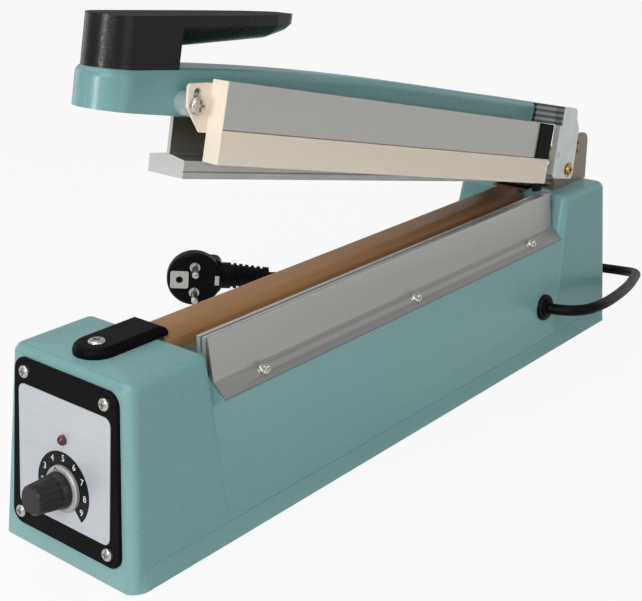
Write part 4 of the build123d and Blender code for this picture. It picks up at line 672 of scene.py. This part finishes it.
def coil_tie():
    """Strap round the stacked turns at the coil's right side."""
    # The right side is three quarters of a turn past the coil's start
    low = COIL_LOW + 0.75 * COIL_PITCH
    high = low + 2 * COIL_PITCH
    half = CORD_D / 2 + TIE_GAP
    centre = COIL_CENTRE[0] + COIL_R
    loop = []
    for z, start in ((high, 0), (low, 180)):
        for i in range(TIE_BEND_STEPS + 1):
            angle = math.radians(start + 180 * i / TIE_BEND_STEPS)
            loop.append((centre + half * math.cos(angle), z + half * math.sin(angle)))
    count = len(loop)
    points = []
    for y in (COIL_CENTRE[1] - TIE_HALF_WIDTH, COIL_CENTRE[1] + TIE_HALF_WIDTH):
        points += [(x, y, z) for x, z in loop]
    faces = [[i, (i + 1) % count, count + (i + 1) % count, count + i] for i in range(count)]
    tie = piece("coil_tie", mesh_from("coil_tie", points, faces), BENCH, "base", "rubber")
    thick = tie.modifiers.new("thick", "SOLIDIFY")
    thick.thickness = TIE_THICK / 1000
    thick.offset = 0
    return tie


# Stage
def camera():
    """The photograph's view."""
    data = bpy.data.cameras.new("camera")
    data.lens = CAMERA_LENS
    data.sensor_width = 36
    data.clip_start = 0.01
    made = added("camera", data)
    turn = Matrix.Rotation(math.radians(CAMERA_YAW), 4, "Z")
    turn = turn @ Matrix.Rotation(math.radians(90 - CAMERA_PITCH), 4, "X")
    turn = turn @ Matrix.Rotation(math.radians(-CAMERA_ROLL), 4, "Z")
    made.matrix_world = Matrix.Translation(BENCH @ Vector(CAMERA_AT)) @ turn
    bpy.context.scene.camera = made


def lamp(name, place, target, size, power):
    """Area lamp that the camera doesn't see."""
    data = bpy.data.lights.new(name, "AREA")
    data.shape = "RECTANGLE"
    data.size, data.size_y = size
    data.energy = power
    made = added(name, data)
    way = Vector(target) - Vector(place)
    made.location = place
    made.rotation_mode = "QUATERNION"
    made.rotation_quaternion = way.to_track_quat("-Z", "Y")
    made.visible_camera = False


def seen_white(tree, output, plain, share, kind):
    """A share of flat white in what the camera, gloss and glass see, the rest shaded."""
    path = tree.nodes.new("ShaderNodeLightPath").outputs
    bounced = math_node(tree, "MAXIMUM", path["Is Glossy Ray"], path["Is Transmission Ray"])
    bounced = math_node(tree, "MULTIPLY", bounced, WHITE_IN_GLOSS)
    seen = math_node(tree, "MULTIPLY", path["Is Camera Ray"], share)
    white = tree.nodes.new("ShaderNode" + kind)
    white.inputs["Color"].default_value = (1, 1, 1, 1)
    white.inputs["Strength"].default_value = 1.0
    mix = tree.nodes.new("ShaderNodeMixShader")
    tree.links.new(math_node(tree, "MAXIMUM", seen, bounced), mix.inputs[0])
    tree.links.new(plain, mix.inputs[1])
    tree.links.new(white.outputs[0], mix.inputs[2])
    tree.links.new(mix.outputs[0], output)


def world():
    """White surroundings, dimmer as a light than as they look."""
    made = bpy.data.worlds.new("studio")
    bpy.context.scene.world = made
    made.use_nodes = True
    tree = made.node_tree
    plain = tree.nodes["Background"]
    plain.inputs["Color"].default_value = (1, 1, 1, 1)
    plain.inputs["Strength"].default_value = SKY_LIGHT
    output = tree.nodes["World Output"].inputs["Surface"]
    seen_white(tree, output, plain.outputs[0], SKY_SEEN, "Background")


def floor():
    """Wide floor just under the feet."""
    half = FLOOR_HALF
    corners = [(-half, -half, 0), (half, -half, 0), (half, half, 0), (-half, half, 0)]
    mesh = mesh_from("floor", corners, [[0, 1, 2, 3]])
    made = added("floor", mesh)
    made.location.z = -FLOOR_DROP
    look = bpy.data.materials.new("floor")
    look.use_nodes = True
    tree = look.node_tree
    plain = tree.nodes["Principled BSDF"]
    plain.inputs["Base Color"].default_value = (FLOOR_GREY, FLOOR_GREY, FLOOR_GREY, 1)
    plain.inputs["Roughness"].default_value = FLOOR_ROUGH
    output = tree.nodes["Material Output"].inputs["Surface"]
    seen_white(tree, output, plain.outputs[0], FLOOR_SEEN, "Emission")
    mesh.materials.append(look)


dress_nodes()
dial_ring()
dial_numbers()
dial_pointer()
mains_lead([NODES[name] for name in ("plug_body", "plug_pins", "plug_earth_parts")] + [coil_tie()])
camera()
world()
floor()
for values in LAMPS:
    lamp(*values)
bpy.context.scene.view_settings.view_transform = "Standard"
